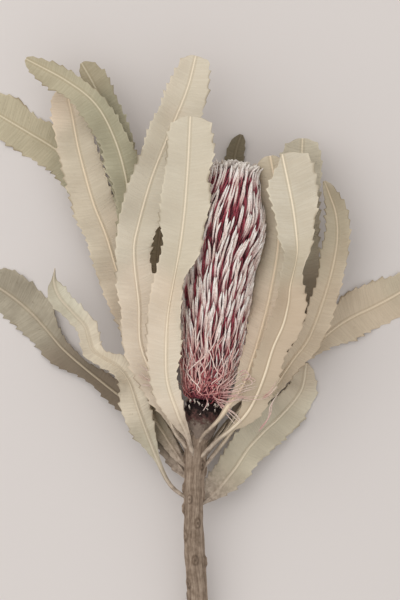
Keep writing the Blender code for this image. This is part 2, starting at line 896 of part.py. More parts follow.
def receptacle(group):
    """The dark woody cup under the florets, set with rows of small bract tips."""
    cup = lathed("receptacle", CUP_PROFILE, 20, 0.0, group)
    frame = head_frame(0.0)
    bumps = new_collection("bract_tips")
    profile = np.array(CUP_PROFILE)
    for row in range(CUP_BUMP_ROWS):
        along = 2.4 + 2.1 * row
        radius = float(np.interp(along, profile[:, 1], profile[:, 0]))
        for n in range(CUP_BUMPS_ROUND):
            turn = 2 * math.pi * (n + 0.5 * (row % 2)) / CUP_BUMPS_ROUND
            ends = [
                on_head(frame, radius - 1.6, turn, along - 0.6),
                on_head(frame, radius + 0.5, turn, along),
                on_head(frame, radius + 0.9, turn, along + 1.6),
            ]
            object_from("tip", spindle(ends, (0, 0.95, 0), 4, 0.3), bumps)
    return union_of(cup, bumps)


def flower_spike(group):
    """The head's core with its florets in upright rows, each root sunk into the core."""
    begin = CUP_LENGTH + 0.25 * CUP_PROFILE[-1][0] + GAP
    spike = lathed("flower_spike", SPIKE_CORE, 16, begin, group)
    frame = head_frame(begin)
    florets = new_collection("florets")
    core = np.array(SPIKE_CORE)
    draw = random.Random(11)
    for row in range(FLORET_ROWS):
        for column in range(FLORET_COLUMNS):
            shift = 0.5 * (column % 2)
            foot = 1.6 + FLORET_PITCH * (row + shift) + draw.uniform(-0.5, 0.5)
            if foot > 111.0:
                continue
            turn = 2 * math.pi * column / FLORET_COLUMNS + draw.uniform(-0.03, 0.03)
            low = float(np.interp(foot, core[:, 1], core[:, 0]))
            high = float(np.interp(foot + 5.0, core[:, 1], core[:, 0]))
            reach = FLORET_REACH * min(1.0, 0.45 + foot / 40.0)
            lean = draw.uniform(-0.04, 0.04)
            ends = [
                on_head(frame, low - 3.0, turn, foot - 1.6),
                on_head(frame, low + 0.55 * reach, turn, foot + 1.2),
                on_head(frame, high + reach, turn + lean, foot + 5.4),
                on_head(frame, high + 0.85 * reach, turn + 1.4 * lean, foot + FLORET_LENGTH),
            ]
            shape = spindle(ends, (0, 0.8 * FLORET_RADIUS, FLORET_RADIUS, 0), 3, draw.uniform(0, 2))
            object_from("floret", shape, florets)
    return union_of(spike, florets)


def leaf(name, form, group, cutter):
    """A toothed blade either side of its midrib, waved at the edges, on a narrow stalk."""
    _, length = smooth_line(form["midrib"], 4)
    count = int(round(length / TOOTH_PITCH)) + 1
    line, _ = smooth_line(form["midrib"], count)
    fine, _ = smooth_line(form["midrib"], 4 * (count - 1) + 1)
    verts = []
    weights = []
    faces = []

    def place(share, side, beyond):
        """A point of the blade: side is -1, 0 or 1, beyond is how far past the margin."""
        at = share * (len(fine) - 1)
        low = min(int(at), len(fine) - 2)
        middle = fine[low] + (at - low) * (fine[low + 1] - fine[low])
        before = fine[max(low - 2, 0)]
        after = fine[min(low + 3, len(fine) - 1)]
        aim = Vector(after - before).normalized()
        across = aim.cross(Vector((0, 0, 1))).normalized()
        normal = across.cross(aim)
        if side == 0:
            point = Vector(middle)
        else:
            index = 0 if side < 0 else 1
            width = float(table_at(form["widths"], share)[index])
            lift = float(table_at(form["lifts"], share)[index])
            number, swing, phase = form["waves"]
            turn = 2 * math.pi * (number * share + phase + 0.35 * index)
            lift += swing * math.sin(turn) * min(1.0, width / 6.0)
            angle = math.radians(lift)
            reach = width + beyond
            point = Vector(middle) + reach * (side * math.cos(angle) * across + math.sin(angle) * normal)
            point += beyond * 0.9 * aim
        point.z = max(point.z, RESTING)
        return point

    def width_at(share, side):
        return float(table_at(form["widths"], share)[0 if side < 0 else 1])

    for row in range(count):
        share = row / (count - 1)
        for side in (-1, 0, 1):
            verts.append(place(share, side, 0.0))
            slim = width_at(share, -1) < 2.0
            weights.append(1.0 if slim else (BLADE_MIDRIB if side == 0 else BLADE_EDGE))
    for row in range(count - 1):
        a, b = 3 * row, 3 * row + 3
        faces += [(a, a + 1, b), (a + 1, b + 1, b), (a + 1, a + 2, b + 1), (a + 2, b + 2, b + 1)]
        for side, low, high in ((-1, a, b), (1, a + 2, b + 2)):
            share = (row + 0.72) / (count - 1)
            if width_at(share, side) < TOOTHED_FROM or row == count - 2:
                continue
            verts.append(place(share, side, TOOTH_DEPTH))
            weights.append(BLADE_EDGE)
            tip = len(verts) - 1
            faces.append((low, high, tip) if side < 0 else (low, tip, high))
    mesh = bpy.data.meshes.new(name)
    mesh.from_pydata([tuple(v) for v in verts], [], faces)
    blade = object_from(name, mesh, group)
    thick = blade.vertex_groups.new(name="thick")
    for index, weight in enumerate(weights):
        thick.add([index], weight, "REPLACE")
    solid = blade.modifiers.new("thickness", "SOLIDIFY")
    solid.thickness = BLADE
    solid.offset = 0.0
    solid.vertex_group = "thick"
    solid.use_even_offset = False
    applied(blade)
    flat = bmesh.new()
    flat.from_mesh(blade.data)
    for vert in flat.verts:
        vert.co.z = max(vert.co.z, 0.0)
    bmesh.ops.recalc_face_normals(flat, faces=flat.faces)
    bmesh.ops.triangulate(flat, faces=flat.faces)
    flat.to_mesh(blade.data)
    flat.free()
    cut = blade.modifiers.new("stem", "BOOLEAN")
    cut.operation = "DIFFERENCE"
    cut.object = cutter
    cut.solver = "MANIFOLD"
    return applied(blade)


def in_metres(thing, look, smooth):
    """Scales the mesh to metres, and gives it its material and shading."""
    thing.data.transform(Matrix.Scale(MM, 4))
    thing.data.materials.clear()
    thing.data.materials.append(look)
    for face in thing.data.polygons:
        face.use_smooth = smooth
    thing.data.update()


def build():
    emptied_scene()
    parts = new_collection("banksia_cone")
    cutters = new_collection("cutters")

    stem = knobbed_stem("stem", parts, 0.0)
    resting = bmesh.new()
    resting.from_mesh(stem.data)
    for vert in resting.verts:
        vert.co.z = max(vert.co.z, 0.0)
    resting.to_mesh(stem.data)
    resting.free()
    in_metres(stem, material("bark", (0.27, 0.20, 0.14), 0.85), True)

    in_metres(receptacle(parts), material("bracts", (0.03, 0.018, 0.016), 0.8), True)
    in_metres(flower_spike(parts), material("florets", (0.60, 0.42, 0.42), 0.8), False)

    cutter = knobbed_stem("stem_clearance", cutters, GAP)
    cutter.hide_render = True
    cutter.display_type = "WIRE"
    for name, form in LEAVES.items():
        blade = leaf(name, form, parts, cutter)
        in_metres(blade, material(name + "_blade", form["tint"], 0.75), False)
    cutter.data.transform(Matrix.Scale(MM, 4))


build()
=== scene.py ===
"""A cut, dried banksia flower spike with its leaves, lying on a pale table."""

import bpy
import numpy as np
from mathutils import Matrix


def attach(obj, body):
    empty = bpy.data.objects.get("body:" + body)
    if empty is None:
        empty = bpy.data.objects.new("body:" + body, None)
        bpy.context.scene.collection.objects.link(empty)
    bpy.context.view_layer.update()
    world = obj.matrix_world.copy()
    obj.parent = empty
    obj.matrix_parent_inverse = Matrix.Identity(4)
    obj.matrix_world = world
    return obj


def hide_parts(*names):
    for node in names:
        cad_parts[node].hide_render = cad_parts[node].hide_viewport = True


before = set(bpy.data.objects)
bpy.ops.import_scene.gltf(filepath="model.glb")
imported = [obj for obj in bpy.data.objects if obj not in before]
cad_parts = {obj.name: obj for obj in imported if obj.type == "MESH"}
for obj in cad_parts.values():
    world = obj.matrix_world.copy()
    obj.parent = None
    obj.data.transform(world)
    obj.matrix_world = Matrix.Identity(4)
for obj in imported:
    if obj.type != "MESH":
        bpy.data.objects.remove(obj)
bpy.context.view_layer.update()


# Stem
# The cut stem of the branch: dry, ridged, grey-brown bark with the scars of fallen leaves and
# small buds standing out of it. It grows into the flower head, and its lower end was cut square.

# Each point of the stem's line is x, y, z and the radius there, in millimetres.
STEM_POINTS = (
    (-1.2, -154.9, 5.2, 5.3),
    (-1.4, -134.0, 7.8, 5.1),
    (-1.2, -110.0, 10.8, 4.9),
    (-2.6, -90.0, 13.6, 5.0),
    (-3.1, -72.0, 16.2, 4.6),
    (-2.9, -56.0, 18.3, 4.9),
    (-2.2, -44.0, 20.0, 5.2),
    (-1.9, -34.0, 21.5, 5.5),
    (-0.6, -29.5, 22.6, 5.7),
    (0.45, -26.8, 23.16, 5.9),
    (0.78, -24.2, 23.26, 6.1),
)
# Each scar is its place along y, its turn round the stem in degrees, its half length and height.
STEM_SCARS = (
    (-42.3, 172.0, 2.0, 1.3),
    (-44.2, 52.0, 2.1, 0.9),
    (-47.6, 4.0, 2.3, 1.4),
    (-52.0, 250.0, 2.4, 1.2),
    (-56.4, 178.0, 2.2, 1.3),
    (-60.3, 6.0, 2.3, 1.2),
    (-61.2, 114.0, 2.0, 0.9),
    (-66.6, 180.0, 2.4, 1.7),
    (-72.9, 66.0, 2.3, 1.0),
    (-79.2, 148.0, 2.4, 1.2),
    (-84.0, 290.0, 2.4, 1.2),
    (-90.9, 88.0, 2.2, 1.0),
    (-92.8, 4.0, 2.5, 1.5),
    (-102.5, 142.0, 2.4, 1.1),
    (-110.0, 210.0, 2.5, 1.2),
    (-122.0, 50.0, 2.5, 1.2),
    (-137.0, 150.0, 2.5, 1.2),
)
BARK_RADIUS = 5.0
MM = 0.001


def smooth_line(points, count):
    """Points spaced evenly along a curve that passes smoothly through the given ones.

    Each run between two knots is a cubic whose slope at a knot is half the step between
    its two neighbours; the dense result is then read off at equal lengths.
    """
    knots = np.array(points, float)
    ends = np.vstack([2 * knots[0] - knots[1], knots, 2 * knots[-1] - knots[-2]])
    share = np.linspace(0, 1, 40, endpoint=False)[None, :, None]
    a, b, c, d = (ends[i : i + len(knots) - 1][:, None, :] for i in range(4))
    runs = 0.5 * (
        2 * b
        + (c - a) * share
        + (2 * a - 5 * b + 4 * c - d) * share**2
        + (3 * b - a - 3 * c + d) * share**3
    )
    dense = np.vstack([runs.reshape(-1, knots.shape[1]), knots[-1:]])
    along = np.concatenate([[0], np.cumsum(np.linalg.norm(np.diff(dense[:, :3], axis=0), axis=1))])
    at = np.linspace(0, along[-1], count)
    return np.stack([np.interp(at, along, dense[:, i]) for i in range(dense.shape[1])], 1), along[-1]


def frames_along(line):
    """Unit vectors at each point of a line: along it, level across it, and upwards from both.

    Across is the line's direction crossed with straight up, so it always stays level.
    """
    aim = np.gradient(line, axis=0)
    aim /= np.linalg.norm(aim, axis=1, keepdims=True)
    across = np.cross(aim, [0.0, 0.0, 1.0])
    across /= np.linalg.norm(across, axis=1, keepdims=True)
    return aim, across, np.cross(across, aim)


def wander(count, spacing, seed):
    """Smooth random numbers between -1 and 1: random knots this many samples apart, joined
    by cosine steps."""
    knots = np.random.default_rng(seed).uniform(-1, 1, int(count / spacing) + 3)
    at = np.arange(count) / spacing
    low = at.astype(int)
    blend = 0.5 - 0.5 * np.cos(np.pi * (at - low))
    return knots[low] * (1 - blend) + knots[low + 1] * blend


def skin(name, rings, values=None):
    """A closed mesh over rings of points in millimetres, an array of (rings, points in one, 3).

    Each ring joins the next with quads, and both end rings are closed by strips of quads
    between their two halves. The faces are turned outward by the sign of the volume.
    """
    count, round_ = rings.shape[:2]
    verts = rings.reshape(-1, 3) * MM
    index = np.arange(count * round_).reshape(count, round_)
    ahead = np.roll(index, -1, axis=1)
    quads = np.stack([index[:-1], ahead[:-1], ahead[1:], index[1:]], -1).reshape(-1, 4)
    half = np.arange(round_ // 2 - 1)
    back = round_ - 1 - half
    first = np.stack([index[0, half], index[0, back], index[0, back - 1], index[0, half + 1]], -1)
    last = np.stack([index[-1, half], index[-1, half + 1], index[-1, back - 1], index[-1, back]], -1)
    quads = np.vstack([quads, first, last])
    a, b, c = verts[quads[:, 0]], verts[quads[:, 1]], verts[quads[:, 2]]
    if np.einsum("ij,ij->", a, np.cross(b, c)) < 0:
        quads = quads[:, ::-1]
    mesh = bpy.data.meshes.new(name)
    mesh.from_pydata(verts.tolist(), [], quads.tolist())
    mesh.polygons.foreach_set("use_smooth", np.ones(len(quads), bool))
    for key, value in (values or {}).items():
        kind = "FLOAT_VECTOR" if value.ndim == 3 else "FLOAT"
        layer = mesh.attributes.new(key, kind, "POINT")
        layer.data.foreach_set("vector" if value.ndim == 3 else "value", value.astype(np.float32).ravel())
    mesh.update()
    piece = bpy.data.objects.new(name, mesh)
    bpy.context.scene.collection.objects.link(piece)
    return piece


def stem_surface():
    """The bark: rings round the stem's line, whose radius is the stem's own plus ridges that
    run lengthwise, low waves along and round it, and a rounded swelling with a sunk middle at
    every scar. The cut end's edge is a little worn.

    Each point's place is its millimetres along and round the stem, and how raised it is. A
    brim round every scar counts as low, so that it is coloured like a furrow.
    """
    rings, round_ = 460, 88
    line, length = smooth_line(STEM_POINTS, rings)
    _, across, up = frames_along(line[:, :3])
    turn = np.linspace(0, 2 * np.pi, round_, endpoint=False)[None, :]
    y = line[:, 1][:, None]
    twist = 0.012 * (y + 155)
    ridge = (
        0.09 * np.sin(7 * turn + 3 * twist + 1.9 * np.sin(y / 13))
        + 0.07 * np.sin(13 * turn - 6 * twist + 2.1 * np.sin(y / 9 + 1))
        + 0.06 * np.sin(23 * turn + 3 * np.sin(y / 6))
    )
    knots = 0.16 * np.sin(y / 4.7) * np.sin(2 * turn + y / 17) + 0.12 * np.sin(y / 2.3 + 3 * turn)
    lump = np.zeros_like(ridge)
    pit = np.zeros_like(ridge)
    brim = np.zeros_like(ridge)
    for place, degrees, half, height in STEM_SCARS:
        apart = np.angle(np.exp(1j * (turn - np.radians(degrees)))) * BARK_RADIUS
        far = ((y - place) / half) ** 2 + (apart / (0.62 * half)) ** 2
        lump = lump + height * np.exp(-(far**1.3))
        pit = pit + 0.8 * np.exp(-far * 5.0)
        brim = brim + np.exp(-(((np.sqrt(far) - 1.0) / 0.30) ** 2))
    radius = line[:, 3][:, None] + ridge + knots + lump - pit
    radius[:2] *= np.array([0.94, 0.98])[:, None]
    bark = line[:, None, :3] + radius[..., None] * (
        np.cos(turn)[..., None] * across[:, None] + np.sin(turn)[..., None] * up[:, None]
    )
    bark[..., 2] = np.maximum(bark[..., 2], 0.0)
    raised = np.clip(0.52 + ridge + 0.25 * lump - 1.1 * pit - 0.45 * brim, 0, 1.4)
    along = np.broadcast_to(np.linspace(0, length, rings)[:, None], raised.shape)
    place = np.stack([along, np.broadcast_to(turn * BARK_RADIUS, raised.shape), raised], -1)
    return bark, place


def add_nodes(tree, *wanted):
    """New nodes of these kinds in the tree, in order."""
    return [tree.nodes.new("ShaderNode" + kind) for kind in wanted]


def ramp(node, *stops):
    """Gives a colour ramp its (place, colour) stops."""
    steps = node.color_ramp.elements
    while len(steps) < len(stops):
        steps.new(0.5)
    for step, (place, colour) in zip(steps, stops):
        step.position = place
        step.color = (*colour, 1.0)


def set_noise(node, scale, detail, roughness=0.5):
    """Sets a noise's scale, detail and roughness."""
    node.inputs["Scale"].default_value = scale
    node.inputs["Detail"].default_value = detail
    node.inputs["Roughness"].default_value = roughness


def times_plus(node, factor, term=0.0):
    """Makes a Math node multiply by a factor and add a term, which may be linked later."""
    node.operation = "MULTIPLY_ADD"
    node.inputs[1].default_value = factor
    node.inputs[2].default_value = term


def multiply_colours(node, amount):
    """Makes a Mix node multiply its second colour into its first by this amount."""
    node.data_type = "RGBA"
    node.blend_type = "MULTIPLY"
    node.inputs[0].default_value = amount


def new_material(name, roughness):
    """A material with its tree, its shader, and a Bump node already feeding the shader."""
    made = bpy.data.materials.new(name)
    made.use_nodes = True
    tree = made.node_tree
    shader = tree.nodes["Principled BSDF"]
    shader.inputs["Roughness"].default_value = roughness
    (bump,) = add_nodes(tree, "Bump")
    tree.links.new(bump.outputs["Normal"], shader.inputs["Normal"])
    return made, tree, shader, bump


def bark_material():
    """Grey-brown bark: pale worn ridges over dark furrows, long fibres and fine dust."""
    made, tree, shader, bump = new_material("dry_bark", 0.86)
    shader.inputs["Specular IOR Level"].default_value = 0.25
    coord, place, split, fibre_at, fibre, spread, level, tone, mottle, shades, mix, height = add_nodes(
        tree, "TexCoord", "Attribute", "SeparateXYZ", "Mapping", "TexNoise", "Math", "Math",
        "ValToRGB", "TexNoise", "ValToRGB", "Mix", "Math"
    )
    place.attribute_name = "bark_place"
    fibre_at.inputs["Scale"].default_value = (0.30, 2.4, 1.0)
    set_noise(fibre, 1.0, 6.0, 0.62)
    fibre.inputs["Distortion"].default_value = 0.5
    set_noise(mottle, 330.0, 5.0)
    times_plus(spread, 0.62, -0.155)
    times_plus(level, 0.55)
    times_plus(height, 0.35)
    ramp(tone, (0.05, (0.085, 0.060, 0.045)), (0.34, (0.23, 0.172, 0.128)),
         (0.60, (0.42, 0.338, 0.268)), (0.95, (0.60, 0.520, 0.435)))
    ramp(shades, (0.3, (0.62, 0.56, 0.50)), (0.7, (1.12, 1.10, 1.08)))
    multiply_colours(mix, 0.85)
    join = tree.links.new
    join(place.outputs["Vector"], split.inputs[0])
    join(place.outputs["Vector"], fibre_at.inputs["Vector"])
    join(fibre_at.outputs[0], fibre.inputs["Vector"])
    join(coord.outputs["Object"], mottle.inputs["Vector"])
    join(fibre.outputs["Fac"], spread.inputs[0])
    join(split.outputs["Z"], level.inputs[0])
    join(spread.outputs[0], level.inputs[2])
    join(level.outputs[0], tone.inputs[0])
    join(mottle.outputs["Fac"], shades.inputs[0])
    join(tone.outputs["Color"], mix.inputs[6])
    join(shades.outputs["Color"], mix.inputs[7])
    join(mix.outputs[2], shader.inputs["Base Color"])
    join(mottle.outputs["Fac"], height.inputs[0])
    join(fibre.outputs["Fac"], height.inputs[2])
    join(height.outputs[0], bump.inputs["Height"])
    bump.inputs["Strength"].default_value = 0.8
    bump.inputs["Distance"].default_value = 0.0006
    return made


bark_points, bark_place = stem_surface()
stem = skin("stem_bark", bark_points, {"bark_place": bark_place})
stem.data.materials.append(bark_material())
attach(stem, "root")
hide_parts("stem")


# Receptacle
# The woody cup that carries the florets: nearly black where bracts cover it, brown and felted
# below, with the pale tips of bracts showing in rows. It is grown in one with the stem's top.

HEAD_START = np.array([0.8, -24.0, 23.36])
HEAD_LINE = np.array([0.1235, 0.9917, 0.036])
HEAD_AIM = HEAD_LINE / np.linalg.norm(HEAD_LINE)
HEAD_SIDE = np.cross(HEAD_AIM, [0.0, 0.0, 1.0])
HEAD_SIDE /= np.linalg.norm(HEAD_SIDE)
HEAD_UP = np.cross(HEAD_SIDE, HEAD_AIM)
GOLDEN_TURN = 2.39996
# Each point of a profile is its radius from the head's axis and its place along it.
CUP_PROFILE = (
    (4.8, -8.0), (6.1, -5.6), (6.8, -2.4), (7.7, 0.6), (8.5, 3.4), (8.8, 5.6), (8.6, 7.4), (8.2, 9.0),
    (6.0, 10.4), (0.4, 11.0),
)


def on_head(radius, turn, along):
    """The point at this radius, turn and length along the flower head's axis."""
    radius, turn, along = np.broadcast_arrays(radius, turn, along)
    return (
        HEAD_START
        + along[..., None] * HEAD_AIM
        + (radius * np.cos(turn))[..., None] * HEAD_SIDE
        + (radius * np.sin(turn))[..., None] * HEAD_UP
    )


def turned(profile, rings, round_):
    """A profile's radii and places, spread evenly over its points and set in columns, and a row
    of turns round the axis."""
    points = np.array(profile)
    at = np.linspace(0, len(points) - 1, rings)
    radius, along = (np.interp(at, np.arange(len(points)), points[:, i])[:, None] for i in (0, 1))
    return radius, along, np.linspace(0, 2 * np.pi, round_, endpoint=False)[None, :]


def cup_surface():
    """The cup: its profile turned about the head's axis, roughened by felt and small lumps."""
    radius, along, turn = turned(CUP_PROFILE, 60, 96)
    lumps = (
        0.30 * np.sin(5 * turn + 0.8 * along + 1.3 * np.sin(2 * turn)) * np.sin(0.7 * along + 3 * turn)
        + 0.20 * np.sin(11 * turn - 1.7 * along + 1.1 * np.sin(3 * turn + along))
        + 0.14 * np.sin(23 * turn + 2.6 * along) * np.sin(1.4 * along - 4 * turn)
    )
    points = on_head(radius + lumps * np.minimum(radius / 6, 1), turn, along)
    return points, np.broadcast_to(along, lumps.shape)


def tubes(name, paths, radii, sides, tone):
    """Many thin closed tubes in one mesh.

    paths is (tubes, points, 3) and radii (tubes, points). Each point but the first and last
    gets a ring at right angles to the path; the two end points close the tube. The points
    carry their tube's tone and how far along it they are.
    """
    count, steps = paths.shape[:2]
    aim = np.gradient(paths, axis=1)
    aim /= np.linalg.norm(aim, axis=2, keepdims=True) + 1e-12
    helper = np.where(np.abs(aim[..., 2:]) > 0.8, [1.0, 0.0, 0.0], [0.0, 0.0, 1.0])
    side = np.cross(aim, helper)
    side /= np.linalg.norm(side, axis=2, keepdims=True)
    up = np.cross(side, aim)
    turn = np.linspace(0, 2 * np.pi, sides, endpoint=False)
    middle = slice(1, steps - 1)
    ring = paths[:, middle, None] + radii[:, middle, None, None] * (
        np.cos(turn)[:, None] * side[:, middle, None] + np.sin(turn)[:, None] * up[:, middle, None]
    )
    rings = steps - 2
    verts = np.concatenate([paths[:, :1], ring.reshape(count, -1, 3), paths[:, -1:]], axis=1)
    each = verts.shape[1]
    grid = 1 + np.arange(rings * sides).reshape(rings, sides)
    ahead = np.roll(grid, -1, axis=1)
    quads = np.stack([grid[:-1], grid[1:], ahead[1:], ahead[:-1]], -1).reshape(-1, 4)
    root = np.stack([np.zeros(sides, int), grid[0], ahead[0]], -1)
    tip = np.stack([np.full(sides, each - 1), ahead[-1], grid[-1]], -1)
    shift = (np.arange(count) * each)[:, None, None]
    mesh = bpy.data.meshes.new(name)
    faces = (quads + shift).reshape(-1, 4).tolist()
    faces += (root + shift).reshape(-1, 3).tolist() + (tip + shift).reshape(-1, 3).tolist()
    mesh.from_pydata((verts.reshape(-1, 3) * MM).tolist(), [], faces)
    mesh.polygons.foreach_set("use_smooth", np.ones(len(faces), bool))
    share = np.concatenate([[0], np.repeat(np.arange(1, steps - 1) / (steps - 1), sides), [1]])
    marks = {"tone": np.repeat(tone, each), "along": np.tile(share, count)}
    for key, value in marks.items():
        mesh.attributes.new(key, "FLOAT", "POINT").data.foreach_set("value", value.astype(np.float32))
    mesh.update()
    piece = bpy.data.objects.new(name, mesh)
    bpy.context.scene.collection.objects.link(piece)
    return piece


def cup_material():
    """Rough felt, brown at the foot and nearly black above, with rust-coloured fuzz."""
    made, tree, shader, bump = new_material("bract_felt", 0.92)
    shader.inputs["Specular IOR Level"].default_value = 0.15
    coord, fuzz, height_at, level, tone, lift = add_nodes(
        tree, "TexCoord", "TexNoise", "Attribute", "Math", "ValToRGB", "Math"
    )
    height_at.attribute_name = "up_cup"
    set_noise(fuzz, 430.0, 6.0, 0.7)
    times_plus(level, 0.075)
    times_plus(lift, 1.25, -0.54)
    ramp(tone, (0.0, (0.25, 0.195, 0.158)), (0.14, (0.14, 0.100, 0.080)), (0.30, (0.120, 0.055, 0.050)),
         (0.44, (0.050, 0.033, 0.028)), (0.56, (0.014, 0.009, 0.009)), (1.0, (0.028, 0.012, 0.014)))
    join = tree.links.new
    join(coord.outputs["Object"], fuzz.inputs["Vector"])
    join(height_at.outputs["Fac"], level.inputs[0])
    join(fuzz.outputs["Fac"], lift.inputs[0])
    join(lift.outputs[0], level.inputs[2])
    join(level.outputs[0], tone.inputs[0])
    join(tone.outputs["Color"], shader.inputs["Base Color"])
    join(fuzz.outputs["Fac"], bump.inputs["Height"])
    bump.inputs["Strength"].default_value = 1.0
    bump.inputs["Distance"].default_value = 0.0016
    return made


def wire_material(name, roughness, dark, mid, pale, shade):
    """Fibre coloured along its length from dark at the root through mid to pale at the tip,
    each fibre turned lighter or darker by its own tone, with brownish flecks, and with fine
    silky hairs that lie lengthwise as relief."""
    made, tree, shader, bump = new_material(name, roughness)
    shader.inputs["Specular IOR Level"].default_value = 0.3
    shader.inputs["Sheen Weight"].default_value = 0.25
    shader.inputs["Sheen Roughness"].default_value = 0.5
    coord, along, lower, hairs_at, hairs, shift, colours = add_nodes(
        tree, "TexCoord", "Attribute", "Math", "Mapping", "TexNoise", "Math", "ValToRGB"
    )
    tone, shades, toned, fleck, fleck_shade, flecked = add_nodes(
        tree, "Attribute", "ValToRGB", "Mix", "TexNoise", "ValToRGB", "Mix"
    )
    along.attribute_name = "along"
    tone.attribute_name = "tone"
    hairs_at.inputs["Scale"].default_value = (2200.0, 352.0, 2200.0)
    set_noise(hairs, 1.0, 3.0)
    set_noise(fleck, 1100.0, 2.0)
    lower.operation = "SUBTRACT"
    lower.inputs[1].default_value = 0.17
    times_plus(shift, 0.34)
    ramp(colours, (0.16, dark), (0.44, mid), (0.74, pale))
    ramp(shades, (0.0, shade), (0.55, (1.0, 1.0, 1.0)))
    ramp(fleck_shade, (0.36, (0.58, 0.52, 0.50)), (0.50, (1.0, 1.0, 1.0)))
    multiply_colours(toned, 1.0)
    multiply_colours(flecked, 0.55)
    join = tree.links.new
    join(coord.outputs["Object"], hairs_at.inputs["Vector"])
    join(hairs_at.outputs[0], hairs.inputs["Vector"])
    join(along.outputs["Fac"], lower.inputs[0])
    join(hairs.outputs["Fac"], shift.inputs[0])
    join(lower.outputs[0], shift.inputs[2])
    join(shift.outputs[0], colours.inputs[0])
    join(tone.outputs["Fac"], shades.inputs[0])
    join(colours.outputs["Color"], toned.inputs[6])
    join(shades.outputs["Color"], toned.inputs[7])
    join(coord.outputs["Object"], fleck.inputs["Vector"])
    join(fleck.outputs["Fac"], fleck_shade.inputs[0])
    join(toned.outputs[2], flecked.inputs[6])
    join(fleck_shade.outputs["Color"], flecked.inputs[7])
    join(flecked.outputs[2], shader.inputs["Base Color"])
    join(hairs.outputs["Fac"], bump.inputs["Height"])
    bump.inputs["Strength"].default_value = 0.5
    bump.inputs["Distance"].default_value = 0.0003
    return made


def bract_paths():
    """Bract tips in two rough rows round the cup's rim, set in a spiral: short rods that start
    under the felt and bend outwards and up."""
    draw = np.random.default_rng(5)
    count = 40
    along = np.concatenate([draw.uniform(8.4, 9.8, 30), draw.uniform(5.8, 8.0, 10)])
    turn = np.arange(count) * GOLDEN_TURN + draw.uniform(-0.15, 0.15, count)
    out = np.interp(along, [4.2, 7.0, 9.0, 10.4], [8.7, 8.6, 8.3, 7.6])
    size = draw.uniform(0.7, 1.3, count)
    path = np.stack(
        [
            on_head(out + rise, turn + draw.uniform(-0.05, 0.05, count), along + step * size)
            for rise, step in ((-0.6, -0.9), (0.1, -0.4), (0.45, 0.2), (0.65, 0.9), (0.7, 1.4))
        ],
        axis=1,
    )
    return path, np.array([0.0, 0.30, 0.38, 0.30, 0.0]) * size[:, None], draw.uniform(0.1, 1, count)


cup_points, cup_height = cup_surface()
cup = skin("receptacle_cup", cup_points, {"up_cup": cup_height})
cup.data.materials.append(cup_material())
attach(cup, "root")
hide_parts("receptacle")

bract_path, bract_radii, bract_tone = bract_paths()
bracts = tubes("bract_tips", bract_path, bract_radii, 5, bract_tone)
bracts.data.materials.append(
    wire_material(
        "bract_tip", 0.8, dark=(0.10, 0.05, 0.04), mid=(0.42, 0.34, 0.28),
        pale=(0.78, 0.72, 0.64), shade=(0.5, 0.42, 0.4)
    )
)
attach(bracts, "root")
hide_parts("receptacle")


# Flower spike
# A woody core closely set with long, dried florets in leaning columns, five abreast. Each is a
# silky, pointed strand, grey-white at the tip and pink at the root, and wine-red styles show
# between the columns. Those at the foot are open, and their wiry styles loop outwards.

SPIKE_FROM = 11.35
SPIKE_CORE = (
    (6.5, 0.0), (8.0, 0.8), (8.4, 5.0), (9.6, 12.0), (11.6, 18.0), (12.8, 26.0), (13.3, 40.0),
    (13.9, 58.0), (14.6, 72.0), (16.2, 82.0), (15.9, 90.0), (14.2, 97.0), (12.2, 104.0),
    (10.6, 109.0), (7.5, 112.4), (3.0, 113.4), (0.4, 113.6),
)
# Each point of the outside is its place along the spike and how far out the tips reach there.
SPIKE_OUTSIDE = (
    (0.0, 9.4), (5.0, 10.2), (12.0, 11.6), (17.0, 13.8), (24.0, 15.7), (37.0, 16.4), (56.0, 16.8),
    (69.0, 17.4), (80.0, 19.6), (88.0, 19.1), (94.0, 17.4), (99.0, 15.4), (106.0, 13.7),
    (112.0, 12.9), (118.0, 12.3),
)
SPIKE_TOP = 117.8
# The tufts of a column follow each other at TUFT_PITCH, and their strands stand LANE apart.
COLUMNS = 22
TUFT_ROWS = 11
TUFT_PITCH = 10.6
LANE = 0.90
CROWN_BUDS = 100
DARK_STYLES = 1700
LOOSE_STYLES = 240
ROSETTE_FLORETS = 190
# Each open rosette is its turn round the head and its place along the spike.
OPEN_ROSETTES = (
    (1.67, 11.6), (2.02, 6.6), (1.25, 9.0), (0.4, 12.5), (3.3, 9.5), (4.4, 7.5), (5.4, 11.0),
)
ROSETTE_TUBES = 16


def core_radius(along):
    """The core's radius at this length from its foot."""
    profile = np.array(SPIKE_CORE)
    return np.interp(along, profile[:, 1], profile[:, 0])


def outside_radius(along):
    """How far the tips of the florets reach from the head's axis at this length."""
    profile = np.array(SPIKE_OUTSIDE)
    return np.interp(along, profile[:, 0], profile[:, 1])


def column_turn(column, up):
    """The turn of a column's middle at a height: evenly spaced, leaning over more and more in
    the upper half, and swaying against its neighbours, so that they part and touch in turn."""
    lean = -0.0006 * up - 0.0078 * np.maximum(up - 72, 0)
    own = 1.1 * np.sin(2.4 * np.mod(column, COLUMNS))
    sway = 0.40 * np.sin(2 * np.pi * up / 31 + np.pi * column + own)
    return 2 * np.pi * column / COLUMNS + lean + sway / outside_radius(up)


def core_surface():
    """The core: its profile turned about the head's axis, with low bumps between the florets."""
    radius, along, turn = turned(SPIKE_CORE, 150, 96)
    bumps = 0.3 * np.sin(COLUMNS * turn) + 0.2 * np.sin(along * 2.3 + 3 * turn)
    return on_head(radius + bumps * np.minimum(radius / 6, 1), turn, SPIKE_FROM + along)


